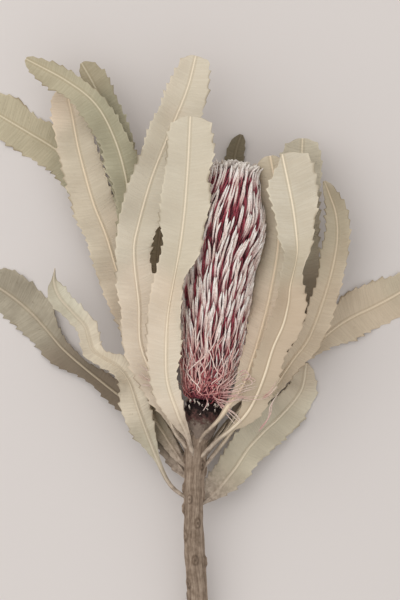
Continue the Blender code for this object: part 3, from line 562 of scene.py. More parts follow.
def core_material():
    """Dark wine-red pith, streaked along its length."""
    made, tree, shader, bump = new_material("spike_core", 0.85)
    coord, streaks_at, streaks, tone = add_nodes(tree, "TexCoord", "Mapping", "TexNoise", "ValToRGB")
    streaks_at.inputs["Scale"].default_value = (900.0, 120.0, 900.0)
    set_noise(streaks, 1.0, 4.0)
    ramp(tone, (0.3, (0.040, 0.006, 0.011)), (0.55, (0.14, 0.018, 0.032)), (0.8, (0.30, 0.060, 0.082)))
    join = tree.links.new
    join(coord.outputs["Object"], streaks_at.inputs["Vector"])
    join(streaks_at.outputs[0], streaks.inputs["Vector"])
    join(streaks.outputs["Fac"], tone.inputs[0])
    join(tone.outputs["Color"], shader.inputs["Base Color"])
    join(streaks.outputs["Fac"], bump.inputs["Height"])
    bump.inputs["Strength"].default_value = 0.9
    bump.inputs["Distance"].default_value = 0.0008
    return made


def strand_paths():
    """Each strand leaves the core low down, rises over the roots of those above it and ends in
    a point that stands a little proud. Five start side by side across their column and close
    to a peak, like a flame, and the peaks of one column stand between those of the next.
    Strands near the foot are thinner and fewer; those near the top are shorter, under a flat
    crown."""
    row, column, lane = np.meshgrid(
        np.arange(-1, TUFT_ROWS), np.arange(COLUMNS), [-2.0, -1.0, 0.0, 1.0, 2.0], indexing="ij"
    )
    row, column, lane = row.ravel(), column.ravel(), lane.ravel()
    draw = np.random.default_rng(21)
    foot = 1.0 + TUFT_PITCH * (row + 0.5 * (column % 2)) + 1.3 * np.abs(lane)
    foot = foot + 1.9 * np.sin(5.1 * column + 1.7 * row) + draw.uniform(-2.4, 2.4, row.size)
    filled = np.interp(foot, [4, 22, 40, 68, 84], [0.38, 0.82, 0.98, 0.98, 0.66])
    kept = (foot > 0.5) & (foot < 107.5) & (draw.uniform(0, 1, row.size) < filled)
    foot, column, lane = foot[kept], column[kept], lane[kept]
    count = foot.size
    length = draw.uniform(12.5, 17.0, count) * np.interp(foot, [0, 20], [0.8, 1.0])
    length = np.minimum(length, SPIKE_TOP - foot + draw.uniform(-4.6, -0.8, count))
    steps = np.array([0.0, 0.08, 0.20, 0.36, 0.52, 0.68, 0.82, 0.93, 1.0])
    out = np.array([-0.30, 0.10, 0.30, 0.50, 0.68, 0.84, 0.97, 1.05, 1.08])
    up = foot[:, None] + steps * length[:, None]
    core, outside = core_radius(up), outside_radius(up)
    reach = draw.uniform(0.72, 1.16, count)[:, None]
    radius = core + out * (outside - core) * reach
    gather = 1.0 - draw.uniform(0.20, 0.86, count)[:, None] * steps**1.2
    aside = lane[:, None] * LANE * gather + draw.normal(0, 0.24, count)[:, None]
    bend = draw.normal(0, 0.5, count)[:, None] * np.sin(2.4 * np.pi * steps) * 0.35
    stray = draw.normal(0, 0.045, count)[:, None] * steps**1.5
    turn = column_turn(column[:, None], up) + (aside + bend) / outside + stray
    width = np.array([0.0, 0.50, 0.72, 0.86, 0.98, 1.0, 0.84, 0.50, 0.0])
    girth = 0.55 * np.interp(foot, [0, 10, 22, 34], [0.40, 0.52, 0.80, 1.0])
    thick = width * (girth * draw.uniform(0.72, 1.18, count))[:, None]
    return on_head(radius, turn, SPIKE_FROM + up), thick, draw.uniform(0, 1, count)


def crown_paths():
    """Short blunt buds that cover the flat crown, set in a spiral and leaning to one side."""
    draw = np.random.default_rng(27)
    count = CROWN_BUDS
    number = np.arange(count)
    radius = 11.6 * np.sqrt((number + 0.5) / count)
    turn = number * GOLDEN_TURN
    dome = np.array(SPIKE_CORE)[:10:-1]
    foot = np.interp(radius, dome[:, 0], dome[:, 1]) - 0.6
    length = SPIKE_TOP - 0.1 - foot - 0.011 * radius**2 + draw.uniform(-2.4, 0.0, count)
    steps = np.array([0.0, 0.2, 0.45, 0.68, 0.86, 0.96, 1.0])
    root = on_head(radius * 0.93, turn, SPIKE_FROM + foot)
    lean = draw.uniform(0.05, 0.85, count)[:, None, None] * steps[:, None] ** 1.3 * HEAD_SIDE
    rise = steps[:, None] * HEAD_AIM
    path = root[:, None] + length[:, None, None] * (rise + lean)
    width = np.array([0.0, 0.56, 0.72, 0.84, 0.74, 0.46, 0.0])
    return path, width * draw.uniform(0.75, 1.15, count)[:, None], draw.uniform(0.0, 1, count)


def dark_style_paths():
    """Wine-red styles that lie between the columns, rising along the head in shallow bows."""
    draw = np.random.default_rng(33)
    count = DARK_STYLES
    foot = draw.uniform(1, 104, count)
    column = draw.integers(0, COLUMNS, count)[:, None]
    length = draw.uniform(8, 14, count)
    steps = np.linspace(0, 1, 7)
    up = foot[:, None] + steps * length[:, None]
    between = 0.5 * (column_turn(column, up) + column_turn(column + 1, up))
    core, outside = core_radius(up), outside_radius(up)
    bow = draw.uniform(0.15, 0.78, count)[:, None] * np.sin(np.pi * (0.10 + 0.80 * steps))
    spread = draw.normal(0, 0.052, count)[:, None] + draw.normal(0, 0.03, count)[:, None] * steps
    path = on_head(core + bow * (outside - core), between + spread, SPIKE_FROM + up)
    width = np.array([0.0, 0.22, 0.25, 0.25, 0.23, 0.18, 0.0])
    return path, width * draw.uniform(0.8, 1.3, count)[:, None], draw.uniform(0, 1, count)


def loose_style_paths():
    """Long pink styles of the open florets at the foot: each bows outwards, rises, and drifts
    round the head as it goes, some of them right across their neighbours."""
    draw = np.random.default_rng(47)
    count = LOOSE_STYLES
    foot = draw.uniform(-1.0, 1.0, count) + 28 * draw.uniform(0, 1, count) ** 1.7
    turn = draw.uniform(0, 2 * np.pi, count)
    length = draw.uniform(9, 24, count)
    steps = np.linspace(0, 1, 10)
    loose = np.interp(foot, [0, 8, 18, 28], [1.15, 0.75, 0.34, 0.18])[:, None]
    drift = loose * draw.normal(0, 0.62, count)[:, None] * steps**1.4
    hook = loose * draw.uniform(0.0, 0.55, count)[:, None] * np.sin(np.pi * steps**1.3)
    up = foot[:, None] + length[:, None] * (steps - 0.16 * np.sin(np.pi * steps) - 0.35 * hook * steps)
    bow = draw.uniform(2.4, 4.4, count)[:, None] * np.sin(np.pi * (0.04 + 0.62 * steps))
    sway = loose * draw.normal(0, 0.13, count)[:, None] * np.sin(2.6 * np.pi * steps)
    outermost = outside_radius(np.clip(up, 0, 118)) + 1.6
    radius = np.minimum(core_radius(np.clip(up, 0, 100)) - 0.6 + bow, outermost)
    path = on_head(radius, turn[:, None] + drift + sway, SPIKE_FROM + up)
    width = np.interp(steps, [0, 0.1, 0.9, 1], [0, 0.27, 0.21, 0])
    return path, width * draw.uniform(0.75, 1.25, count)[:, None], draw.uniform(0, 1, count)


def rosette_paths():
    """Rose-red florets at the very foot. Most curl outwards and back up, and a few open into
    rings of short tubes, like small flowers, at their own turn and height."""
    draw = np.random.default_rng(59)
    count = ROSETTE_FLORETS
    foot = draw.uniform(-1.0, 14, count)
    turn = draw.uniform(0, 2 * np.pi, count)
    length = draw.uniform(4.5, 8.5, count)
    steps = np.linspace(0, 1, 7)
    fall = draw.uniform(-0.35, 0.5, count)[:, None]
    out = length[:, None] * 0.46 * np.sin(np.pi * (0.02 + 0.62 * steps))
    up = foot[:, None] + length[:, None] * (fall * np.sin(np.pi * steps) + 0.55 * steps**2)
    curl = draw.normal(0, 0.22, count)[:, None] * steps
    radius = core_radius(np.clip(up, 0, 60)) - 0.8 + out
    loops = on_head(radius, turn[:, None] + curl, SPIKE_FROM + up)
    rings = np.repeat(np.array(OPEN_ROSETTES), ROSETTE_TUBES, axis=0)
    way = np.tile(np.arange(ROSETTE_TUBES) * 2 * np.pi / ROSETTE_TUBES, len(OPEN_ROSETTES))
    way = (way + draw.uniform(-0.2, 0.2, len(rings)))[:, None]
    apart = draw.uniform(2.0, 3.3, len(rings))[:, None] * np.sin(0.5 * np.pi * steps)
    up = rings[:, 1:] + apart * np.sin(way)
    swell = 2.2 * np.sin(np.pi * (0.1 + 0.7 * steps))
    radius = outside_radius(np.clip(rings[:, 1:], 0, 60)) - 1.6 + swell
    opened = on_head(radius, rings[:, :1] + apart * np.cos(way) / radius, SPIKE_FROM + up)
    path = np.concatenate([loops, opened])
    width = np.array([0.0, 0.26, 0.27, 0.26, 0.24, 0.20, 0.0])
    return path, width * draw.uniform(0.8, 1.2, len(path))[:, None], draw.uniform(0, 1, len(path))


# Each stray style runs through four points, x, y and z in millimetres.
STRAYS = (
    ((9.0, -9.5, 31.0), (15.0, -8.6, 37.0), (22.5, -6.0, 38.4), (27.4, -4.6, 38.2)),
    ((8.5, -11.5, 30.0), (14.0, -11.8, 35.6), (20.5, -9.0, 37.6), (25.6, -7.6, 37.8)),
    ((8.0, -12.4, 29.0), (13.6, -13.6, 34.6), (19.8, -12.0, 36.6), (26.4, -12.6, 37.2)),
    ((9.4, -8.0, 31.4), (14.4, -5.4, 36.4), (19.6, -1.2, 37.0), (24.0, -1.6, 37.2)),
    ((7.6, -12.6, 28.6), (12.4, -16.4, 33.6), (17.2, -19.6, 35.2), (20.4, -24.0, 36.2)),
    ((7.0, -12.0, 29.4), (10.8, -17.2, 33.2), (13.6, -20.8, 33.8), (17.6, -25.2, 35.4)),
    ((9.8, -10.6, 30.6), (16.0, -10.6, 37.4), (24.0, -11.4, 38.4), (31.4, -9.8, 38.6)),
    ((9.2, -7.0, 31.6), (15.8, -7.2, 37.4), (21.0, -4.6, 38.0), (23.0, -8.4, 38.0)),
    ((4.0, -11.6, 31.0), (3.2, -15.4, 33.0), (1.6, -18.0, 32.2), (-0.8, -20.8, 31.4)),
    ((6.0, -11.0, 31.0), (9.0, -14.0, 33.2), (12.0, -14.6, 33.8), (15.4, -17.6, 34.6)),
    ((28.7, -27.2, 36.0), (33.8, -20.4, 37.0), (35.0, -14.2, 37.4), (38.8, -8.2, 37.8)),
    ((30.0, -12.0, 37.4), (33.4, -10.4, 38.0), (35.6, -8.0, 38.2), (37.6, -5.8, 38.2)),
    ((-9.5, -6.0, 24.6), (-16.0, -3.8, 28.4), (-24.6, 0.6, 29.2), (-30.6, 4.8, 27.2)),
    ((-9.5, -8.0, 24.2), (-16.5, -6.4, 28.0), (-25.6, -3.4, 28.2), (-33.4, 1.4, 24.2)),
    ((-9.0, -9.0, 24.0), (-16.0, -7.8, 27.6), (-24.0, -6.4, 27.8), (-32.6, -5.2, 23.6)),
    ((19.4, -1.4, 37.4), (22.0, 0.4, 38.0), (24.4, -1.4, 38.0), (22.6, -4.0, 37.6)),
    ((20.0, -3.6, 37.4), (23.0, -2.6, 38.2), (25.4, -4.4, 38.2), (22.8, -6.4, 37.6)),
)


def stray_paths():
    """Long styles that have sprung loose at the foot and lie over the leaf stalks, each drawn
    smoothly through its points and doubled by another close beside it."""
    draw = np.random.default_rng(64)
    lines = np.array([smooth_line(points, 12)[0] for points in STRAYS])
    steps = np.linspace(0, 1, 12)
    beside = lines + draw.normal(0, 0.8, (len(lines), 1, 3)) * [1, 1, 0.3]
    beside = beside + steps[:, None] * draw.normal(0, 1.8, (len(lines), 1, 3)) * [1, 1, 0.1]
    path = np.concatenate([lines, beside])
    radii = np.interp(steps, [0, 0.12, 0.88, 1], [0, 0.24, 0.17, 0]) * np.ones((len(path), 1))
    return path, radii, draw.uniform(0.3, 1, len(path))


def add_florets(name, wires, sides, material):
    """Makes one kind of fibre of the flower spike from its paths, radii and tones."""
    path, radii, tone = wires
    piece = tubes(name, path, radii, sides, tone)
    piece.data.materials.append(material)
    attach(piece, "root")
    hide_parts("flower_spike")


core = skin("spike_core", core_surface())
core.data.materials.append(core_material())
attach(core, "root")
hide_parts("flower_spike")

silky_strand = wire_material(
    "silky_strand", 0.82, dark=(0.32, 0.065, 0.090), mid=(0.82, 0.655, 0.62),
    pale=(0.94, 0.90, 0.855), shade=(0.86, 0.77, 0.73)
)
crown_bud = wire_material(
    "crown_bud", 0.85, dark=(0.30, 0.17, 0.17), mid=(0.58, 0.50, 0.46),
    pale=(0.80, 0.76, 0.70), shade=(0.66, 0.60, 0.54)
)
wine_style = wire_material(
    "wine_style", 0.6, dark=(0.13, 0.006, 0.015), mid=(0.33, 0.018, 0.045),
    pale=(0.52, 0.10, 0.14), shade=(0.50, 0.25, 0.30)
)
pink_style = wire_material(
    "pink_style", 0.6, dark=(0.46, 0.08, 0.095), mid=(0.88, 0.49, 0.45),
    pale=(0.94, 0.76, 0.69), shade=(0.55, 0.24, 0.25)
)
rose_tube = wire_material(
    "rose_tube", 0.62, dark=(0.24, 0.022, 0.036), mid=(0.50, 0.095, 0.115),
    pale=(0.74, 0.34, 0.32), shade=(0.55, 0.30, 0.32)
)
dry_style = wire_material(
    "dry_style", 0.6, dark=(0.62, 0.34, 0.32), mid=(0.76, 0.52, 0.47),
    pale=(0.78, 0.64, 0.56), shade=(0.60, 0.40, 0.36)
)
add_florets("spike_strands", strand_paths(), 6, silky_strand)
add_florets("spike_crown_buds", crown_paths(), 6, crown_bud)
add_florets("spike_dark_styles", dark_style_paths(), 4, wine_style)
add_florets("spike_loose_styles", loose_style_paths(), 4, pink_style)
add_florets("spike_rosettes", rosette_paths(), 4, rose_tube)
add_florets("spike_stray_styles", stray_paths(), 4, dry_style)


# Leaves in front of the flower head
# Long, stiff, dried leaves, pale tan, each with a raised cream midrib, close parallel cross
# veins and a saw-toothed margin that has waved as it dried. Every leaf grows out of the stem
# below the head on its own narrow stalk.

# All in millimetres: from tooth to tooth and out to a tooth's point, the blade's thickness, the
# rib's rise over and under it, the half width that is still stalk, and the rounded tip.
TOOTH = 4.7
TOOTH_DEEP = 1.35
BLADE_THICK = 0.55
RIB_ABOVE = 0.62
RIB_BELOW = 0.5
STALK_HALF = 2.6
TIP_ROUND = 2.8
# Rows of points follow the leaf ROW_STEP apart, after ROOT_ROWS that reach ROOT_DEPTH down
# into the stem.
ROW_STEP = 0.5
ROOT_ROWS = 24
ROOT_DEPTH = 13.0
# The rows of points across a half blade, as shares of the way from the midrib to the margin.
ACROSS = np.array(
    [0, 0.03, 0.06, 0.10, 0.16, 0.24, 0.34, 0.45, 0.56, 0.67, 0.77, 0.86, 0.93, 0.975, 1.0]
)


def side_table(table, shares, column):
    """One side's column of a (share, left, right) table, read smoothly at the given shares."""
    rows = np.array(table, float)
    values = np.interp(shares, rows[:, 0], rows[:, column])
    reach = max(3, int(0.05 * len(shares)) | 1)
    padded = np.pad(values, reach // 2, mode="edge")
    return np.convolve(padded, np.ones(reach) / reach, mode="valid")


def teeth(along, width, seed):
    """How far the saw-toothed margin stands beyond the blade, and how far it leans forward.

    Teeth follow each other at about TOOTH, each a little different. Within one, the margin
    rises in a shallow hollow for four fifths of its length and falls straight back, so the
    points are sharp and aim at the leaf's tip. There are none on the stalk.
    """
    draw = np.random.default_rng(seed)
    steps = TOOTH * draw.uniform(0.78, 1.22, int(along[-1] / TOOTH) + 8)
    ends = np.concatenate([[0], np.cumsum(steps)])
    number = np.interp(along, ends, np.arange(len(ends)))
    phase = number % 1.0
    size = draw.uniform(0.40, 1.25, len(ends) + 1)[number.astype(int)]
    saw = np.where(phase < 0.78, (phase / 0.78) ** 1.7, (1 - phase) / 0.22)
    grown = np.clip((width - 2.2) / 3.0, 0, 1) * size
    return TOOTH_DEEP * saw * grown, 0.7 * saw**2 * grown


def blade_line(midrib):
    """The leaf's line, the share of its length at each point, and its length.

    Along the midrib it is a smooth line through the given points. The rows before the first of
    them, all at share 0, run from ROOT_DEPTH down inside the stem out to it, on a parabola that
    meets the stalk in the stalk's own direction.
    """
    _, length = smooth_line(midrib, 4)
    rows = int(length / ROW_STEP)
    line, _ = smooth_line(midrib, rows)
    stem_line = np.array(STEM_POINTS)
    heel_y = midrib[0][1] - ROOT_DEPTH
    heel_x, heel_z = (np.interp(heel_y, stem_line[:, 1], stem_line[:, i]) for i in (0, 2))
    heel = np.array([heel_x, heel_y, heel_z])
    bend = line[0] - 5.0 * (line[4] - line[0]) / np.linalg.norm(line[4] - line[0])
    run = np.linspace(0, 1, ROOT_ROWS, endpoint=False)[:, None]
    root = (1 - run) ** 2 * heel + 2 * run * (1 - run) * bend + run**2 * line[0]
    share = np.concatenate([np.zeros(ROOT_ROWS), np.linspace(0, 1, rows)])
    return np.vstack([root, line]), share, length


def blade_surface(midrib, widths, lifts, waves, seed, crinkle):
    """A leaf as rings across its length, each going over the top and back underneath.

    A point of the top is the midrib's point, plus a share of the half width to its side, and
    raised by that side's lift, by waves that grow towards the margin, and by a narrow rib
    over the midrib. The half width closes in a round over the last TIP_ROUND millimetres. The
    underside is the same a blade's thickness lower, with its own rib, and never below the
    table. With the rings go each point's millimetres along the leaf and from its midrib, its
    share of the way to the margin, and a mark of 1 on the underside.
    """
    line, share, length = blade_line(midrib)
    aim, across, up = frames_along(line)
    rows = len(line)
    along = share * length
    edge = np.clip((ACROSS - 0.72) / 0.28, 0, 1)
    number, swing, phase = waves
    top, reach = [], []
    for column, side in ((1, -1.0), (2, 1.0)):
        width = side_table(widths, share, column)
        width = width * (1 - 0.24 * np.clip(STALK_HALF - width, 0, 1))
        width = width * np.clip((length - along + 0.25) / TIP_ROUND, 0, 1) ** 0.42
        grow = np.clip(width / 6.0, 0, 1)
        wave = np.sin(2 * np.pi * (number * share + phase + 0.35 * (column - 1)))
        tilt = np.radians(side_table(lifts, share, column) + swing * grow * wave)[:, None]
        tooth, forward = teeth(along, width, seed * 7 + column)
        ragged = crinkle * 0.75 * grow * wander(rows, 11 / ROW_STEP, seed * 13 + column)
        span = (width + ragged)[:, None] * ACROSS + tooth[:, None] * edge**1.4
        small = crinkle * grow[:, None] * ACROSS**2 * (
            0.75 * wander(rows, 20 / ROW_STEP, seed * 17 + column)[:, None]
            + 0.22 * wander(rows, 8 / ROW_STEP, seed * 19 + column)[:, None]
        )
        high = span * np.sin(tilt) * ACROSS**0.45 + small
        points = (
            line[:, None]
            + (side * span * np.cos(tilt))[..., None] * across[:, None]
            + high[..., None] * up[:, None]
            + (forward[:, None] * edge)[..., None] * aim[:, None]
        )
        top.append(points)
        reach.append(side * span)
    over = np.concatenate([top[0][:, :0:-1], top[1]], axis=1)
    from_rib = np.concatenate([reach[0][:, :0:-1], reach[1]], axis=1)
    outward = np.tile(np.concatenate([ACROSS[:0:-1], ACROSS]), (rows, 1))
    stalk = np.clip(STALK_HALF - side_table(widths, share, 1), 0, 1)[:, None]
    rib = np.exp(-((from_rib / (0.52 - 0.22 * share[:, None])) ** 2))
    rib = rib * np.clip(1.25 - share[:, None], 0.3, 1) * (1 - 0.6 * stalk)
    thick = BLADE_THICK * (0.35 + 0.65 * np.clip((1 - outward) / 0.08, 0, 1)) * (1 - stalk)
    thick = thick + stalk * 1.7 * np.sqrt(np.clip(1 - outward**2, 0, 1)) + 0.02
    face = np.cross(np.gradient(over, axis=0), np.gradient(over, axis=1))
    face /= -np.linalg.norm(face, axis=2, keepdims=True) + 1e-9
    face *= np.sign(np.sum(face * up[:, None], axis=2, keepdims=True) + 1e-9)
    above = over + face * (thick / 2 + RIB_ABOVE * rib)[..., None]
    below = over - face * (thick / 2 + RIB_BELOW * rib)[..., None]
    below[..., 2] = np.maximum(below[..., 2], 0.02)
    above[..., 2] = np.maximum(above[..., 2], below[..., 2] + 0.3)
    rings = np.concatenate([above, below[:, ::-1]], axis=1)
    across_mm = np.concatenate([from_rib, from_rib[:, ::-1]], axis=1)
    margin = np.concatenate([outward, outward[:, ::-1]], axis=1)
    place = np.stack([np.broadcast_to(along[:, None], across_mm.shape), across_mm, margin], -1)
    under = np.concatenate([np.zeros_like(outward), np.ones_like(outward)], axis=1)
    return rings, place, under


def blade_group():
    """The look that all the leaves share: blotched blade, cross veins, midrib and margin, and a
    foot that fades from bark, and over the given length from the Shade colour, to the blade.
    Near the stalk that fade is the leaf's own browning; over a long given length it is painted shade.

    The place attribute holds millimetres along the leaf and from its midrib, and the share
    of the way to the margin. Veins are noise drawn out across the blade and slanted forward
    a little; the rib, a band of painted shade beside it and the margin are narrow bands of the
    other two values. Broad clouds turn the blade warmer or cooler, and its underside is duller.
    """
    group = bpy.data.node_groups.new("dried_blade", "ShaderNodeTree")
    inputs = (
        ("Blade", "NodeSocketColor", (0.6, 0.5, 0.4, 1)),
        ("Shade", "NodeSocketColor", (0.4, 0.35, 0.25, 1)),
        ("Rib", "NodeSocketColor", (0.8, 0.7, 0.5, 1)),
        ("Blotch", "NodeSocketFloat", 0.5),
        ("Veins", "NodeSocketFloat", 0.5),
        ("Foot_browning_and_painted_shade", "NodeSocketFloat", 36.0),
    )
    outputs = (
        ("Colour", "NodeSocketColor"), ("Height", "NodeSocketFloat"), ("Roughness", "NodeSocketFloat"),
    )
    for name, kind, value in inputs:
        group.interface.new_socket(name, in_out="INPUT", socket_type=kind).default_value = value
    for name, kind in outputs:
        group.interface.new_socket(name, in_out="OUTPUT", socket_type=kind)
    given = group.nodes.new("NodeGroupInput")
    out = group.nodes.new("NodeGroupOutput")
    place, under, split, coord, veins_at, net_at = add_nodes(
        group, "Attribute", "Attribute", "SeparateXYZ", "TexCoord", "CombineXYZ", "CombineXYZ"
    )
    place.attribute_name = "blade_place"
    under.attribute_name = "underside"
    join = group.links.new
    join(place.outputs["Vector"], split.inputs[0])
    blade, shade, rib_colour, blotch, vein_depth, stalk = (given.outputs[name] for name, _, _ in inputs)
    along, aside, outward = (split.outputs[name] for name in "XYZ")
    here = coord.outputs["Object"]

    def math(kind, first, second, third=None):
        """A Math node; each input is a number or a socket."""
        (node,) = add_nodes(group, "Math")
        node.operation = kind
        for socket, value in zip(node.inputs, (first, second, third)):
            if isinstance(value, (int, float)):
                socket.default_value = value
            elif value is not None:
                join(value, socket)
        return node.outputs[0]

    def band(value, low, high):
        """A smooth step from 0 at low to 1 at high, either way round."""
        (node,) = add_nodes(group, "MapRange")
        node.interpolation_type = "SMOOTHSTEP"
        node.inputs["From Min"].default_value = low
        node.inputs["From Max"].default_value = high
        join(value, node.inputs["Value"])
        return node.outputs["Result"]

    def noise(vector, scale, detail, rough=0.5):
        """Noise read at a vector."""
        (node,) = add_nodes(group, "TexNoise")
        set_noise(node, scale, detail, rough)
        join(vector, node.inputs["Vector"])
        return node.outputs["Fac"]

    def mixed(amount, first, second, kind="MIX"):
        """Two colours mixed by an amount."""
        (node,) = add_nodes(group, "Mix")
        node.data_type = "RGBA"
        node.blend_type = kind
        for socket, value in ((node.inputs[0], amount), (node.inputs[6], first), (node.inputs[7], second)):
            if isinstance(value, (int, float, tuple)):
                socket.default_value = value
            else:
                join(value, socket)
        return node.outputs[2]

    away = math("ABSOLUTE", aside, 0.0)
    forward = math("MULTIPLY_ADD", away, -0.22, along)
    join(math("MULTIPLY", forward, 1.35), veins_at.inputs["X"])
    join(math("MULTIPLY", aside, 0.07), veins_at.inputs["Y"])
    join(math("MULTIPLY", forward, 1.9), net_at.inputs["X"])
    join(math("MULTIPLY", aside, 0.9), net_at.inputs["Y"])
    net = noise(net_at.outputs[0], 1.0, 3.0, 0.6)
    blotches = noise(here, 34.0, 5.0, 0.6)
    clouds = noise(here, 11.0, 3.0, 0.5)
    speckles = noise(here, 420.0, 3.0, 0.6)
    vein_mark = band(noise(veins_at.outputs[0], 1.0, 3.0, 0.55), 0.40, 0.58)
    slimmed = math("MULTIPLY_ADD", along, 0.0017, away)
    rib = band(slimmed, 0.72, 0.50)
    # A narrow band of painted shade on both sides of the raised rib.
    rib_side_painted_shade = math("MULTIPLY", band(away, 1.6, 0.9), band(slimmed, 0.60, 0.90))
    beside = band(away, 2.2, 0.4)
    foot = band(math("DIVIDE", math("SUBTRACT", stalk, along), stalk), 0.0, 0.40)
    woody = band(along, 30.0, 6.0)
    margin = band(outward, 0.90, 1.0)
    brown_edge = math("MULTIPLY", margin, band(noise(here, 70.0, 2.0), 0.42, 0.66))
    stained = band(math("MULTIPLY_ADD", clouds, 0.5, math("MULTIPLY", blotches, 0.5)), 0.40, 0.66)

    colour = mixed(math("MULTIPLY", stained, blotch), blade, shade)
    lines = math("MULTIPLY", math("SUBTRACT", 1.0, vein_mark), vein_depth)
    colour = mixed(math("MULTIPLY", lines, 0.55), colour, shade)
    pale = mixed(1.0, colour, (1.10, 1.09, 1.07, 1.0), "MULTIPLY")
    colour = mixed(math("MULTIPLY", band(net, 0.5, 0.72), 0.6), colour, pale)
    colour = mixed(math("MULTIPLY", beside, 0.22), colour, rib_colour)
    colour = mixed(math("MULTIPLY", band(speckles, 0.63, 0.74), 0.35), colour, shade)
    colour = mixed(math("MULTIPLY", margin, 0.35), colour, rib_colour)
    colour = mixed(math("MULTIPLY", brown_edge, 0.65), colour, (0.20, 0.14, 0.075, 1.0))
    dull = mixed(1.0, colour, (0.80, 0.76, 0.68, 1.0), "MULTIPLY")
    colour = mixed(math("MULTIPLY", under.outputs["Fac"], 0.75), colour, dull)
    # Towards the foot, over the given length, the blade fades to the Shade colour: near the stalk this is
    # the leaf's own browning, and where a leaf is given a long length it is painted shade.
    colour = mixed(math("MULTIPLY", foot, 0.88), colour, shade)
    tint = mixed(band(clouds, 0.58, 0.42), (0.955, 0.985, 0.97, 1.0), (1.03, 1.0, 0.975, 1.0))
    colour = mixed(1.0, colour, tint, "MULTIPLY")
    # The painted shade beside the rib: the colour darkened towards grey-brown.
    hollow = mixed(1.0, colour, (0.76, 0.72, 0.66, 1.0), "MULTIPLY")
    colour = mixed(math("MULTIPLY", rib_side_painted_shade, 0.55), colour, hollow)
    colour = mixed(math("MULTIPLY", rib, 0.95), colour, rib_colour)
    bark = mixed(band(speckles, 0.35, 0.65), (0.24, 0.18, 0.14, 1.0), (0.46, 0.37, 0.295, 1.0))
    colour = mixed(math("MULTIPLY", woody, 0.85), colour, bark)
    join(colour, out.inputs["Colour"])
    relief = math("MULTIPLY_ADD", vein_mark, 0.55, math("MULTIPLY", net, 0.45))
    relief = math("MULTIPLY_ADD", blotches, 0.9, relief)
    join(relief, out.inputs["Height"])
    join(math("MULTIPLY_ADD", speckles, 0.25, 0.55), out.inputs["Roughness"])
    return group


BLADE_LOOK = blade_group()


def leaf_material(name, blade, shade, rib, blotch, veins, stalk=36.0):
    """A dried leaf in the given colours, through the shared blade look. Where stalk is long, the fade to
    the shade colour over it is painted shade.
    """
    made, tree, shader, bump = new_material(name, 0.65)
    (look,) = add_nodes(tree, "Group")
    look.node_tree = BLADE_LOOK
    look.inputs["Blade"].default_value = (*blade, 1.0)
    look.inputs["Shade"].default_value = (*shade, 1.0)
    look.inputs["Rib"].default_value = (*rib, 1.0)
    look.inputs["Blotch"].default_value = blotch
    look.inputs["Veins"].default_value = veins
    look.inputs["Foot_browning_and_painted_shade"].default_value = stalk
    shader.inputs["Specular IOR Level"].default_value = 0.35
    join = tree.links.new
    join(look.outputs["Colour"], shader.inputs["Base Color"])
    join(look.outputs["Roughness"], shader.inputs["Roughness"])
    join(look.outputs["Height"], bump.inputs["Height"])
    bump.inputs["Strength"].default_value = 0.5
    bump.inputs["Distance"].default_value = 0.0003
    return made


def add_leaf(node, material, seed, midrib, widths, lifts, waves, crinkle=1.0):
    """Makes one leaf, gives it its material, and sets it in the place of its solid.

    The midrib is x, y and z in millimetres from the stem to the tip. Widths are the share of
    the length and the half width left and right of it, lifts the share and the degrees that
    each half is raised, and waves their number, their degrees and where they start.
    """
    rings, place, under = blade_surface(midrib, widths, lifts, waves, seed, crinkle)
    piece = skin(node + "_blade", rings, {"blade_place": place, "underside": under})
    piece.data.materials.append(material)
    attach(piece, "root")
    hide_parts(node)


cream_leaf = leaf_material(
    "cream_leaf", blade=(0.69, 0.61, 0.50), shade=(0.58, 0.49, 0.38), rib=(0.85, 0.735, 0.57),
    blotch=0.5, veins=0.45, stalk=30.0
)
# Over its lower 137 millimetres the blade fades to the Shade colour: partly the leaf's own tan, partly
# painted shade where the blade turns away in its middle.
warm_leaf = leaf_material(
    "warm_leaf", blade=(0.735, 0.665, 0.565), shade=(0.50, 0.405, 0.295), rib=(0.90, 0.78, 0.60),
    blotch=0.55, veins=0.40, stalk=137.0
)
tan_leaf = leaf_material(
    "tan_leaf", blade=(0.69, 0.59, 0.47), shade=(0.51, 0.42, 0.31), rib=(0.85, 0.70, 0.51),
    blotch=0.55, veins=0.45, stalk=30.0
)

add_leaf(
    "leaf_front_left", cream_leaf, 1,
    midrib=(
        (-2.8, -41.0, 24.0), (-4.4, -36.5, 27.0), (-6.4, -29.5, 29.5), (-11.0, -19.0, 32.0),
        (-16.0, -1.5, 34.5), (-15.6, 25.0, 36.5), (-11.2, 51.0, 38.5), (-8.2, 71.0, 40.5),
        (-6.2, 94.0, 42.0), (-4.6, 124.0, 43.0),
    ),
    widths=(
        (0.0, 1.3, 1.3), (0.07, 1.6, 1.6), (0.13, 4.2, 3.4), (0.2, 7.8, 5.0), (0.3, 8.4, 6.4),
        (0.37, 9.2, 8.4), (0.47, 10.4, 10.4), (0.55, 9.0, 10.8), (0.63, 8.4, 11.0),
        (0.7, 11.8, 11.6), (0.76, 11.4, 12.0), (0.93, 10.4, 11.6), (0.985, 9.6, 10.6),
        (1.0, 3.6, 9.0),
    ),
    lifts=(
        (0.0, 0.0, 0.0), (0.2, 8.0, 25.0), (0.38, 6.0, 30.0), (0.47, 8.0, 68.0), (0.56, 10.0, 62.0),
        (0.66, 6.0, 26.0), (0.8, 10.0, 24.0), (1.0, 4.0, 12.0),
    ),
    waves=(7.0, 5.0, 0.1),
)
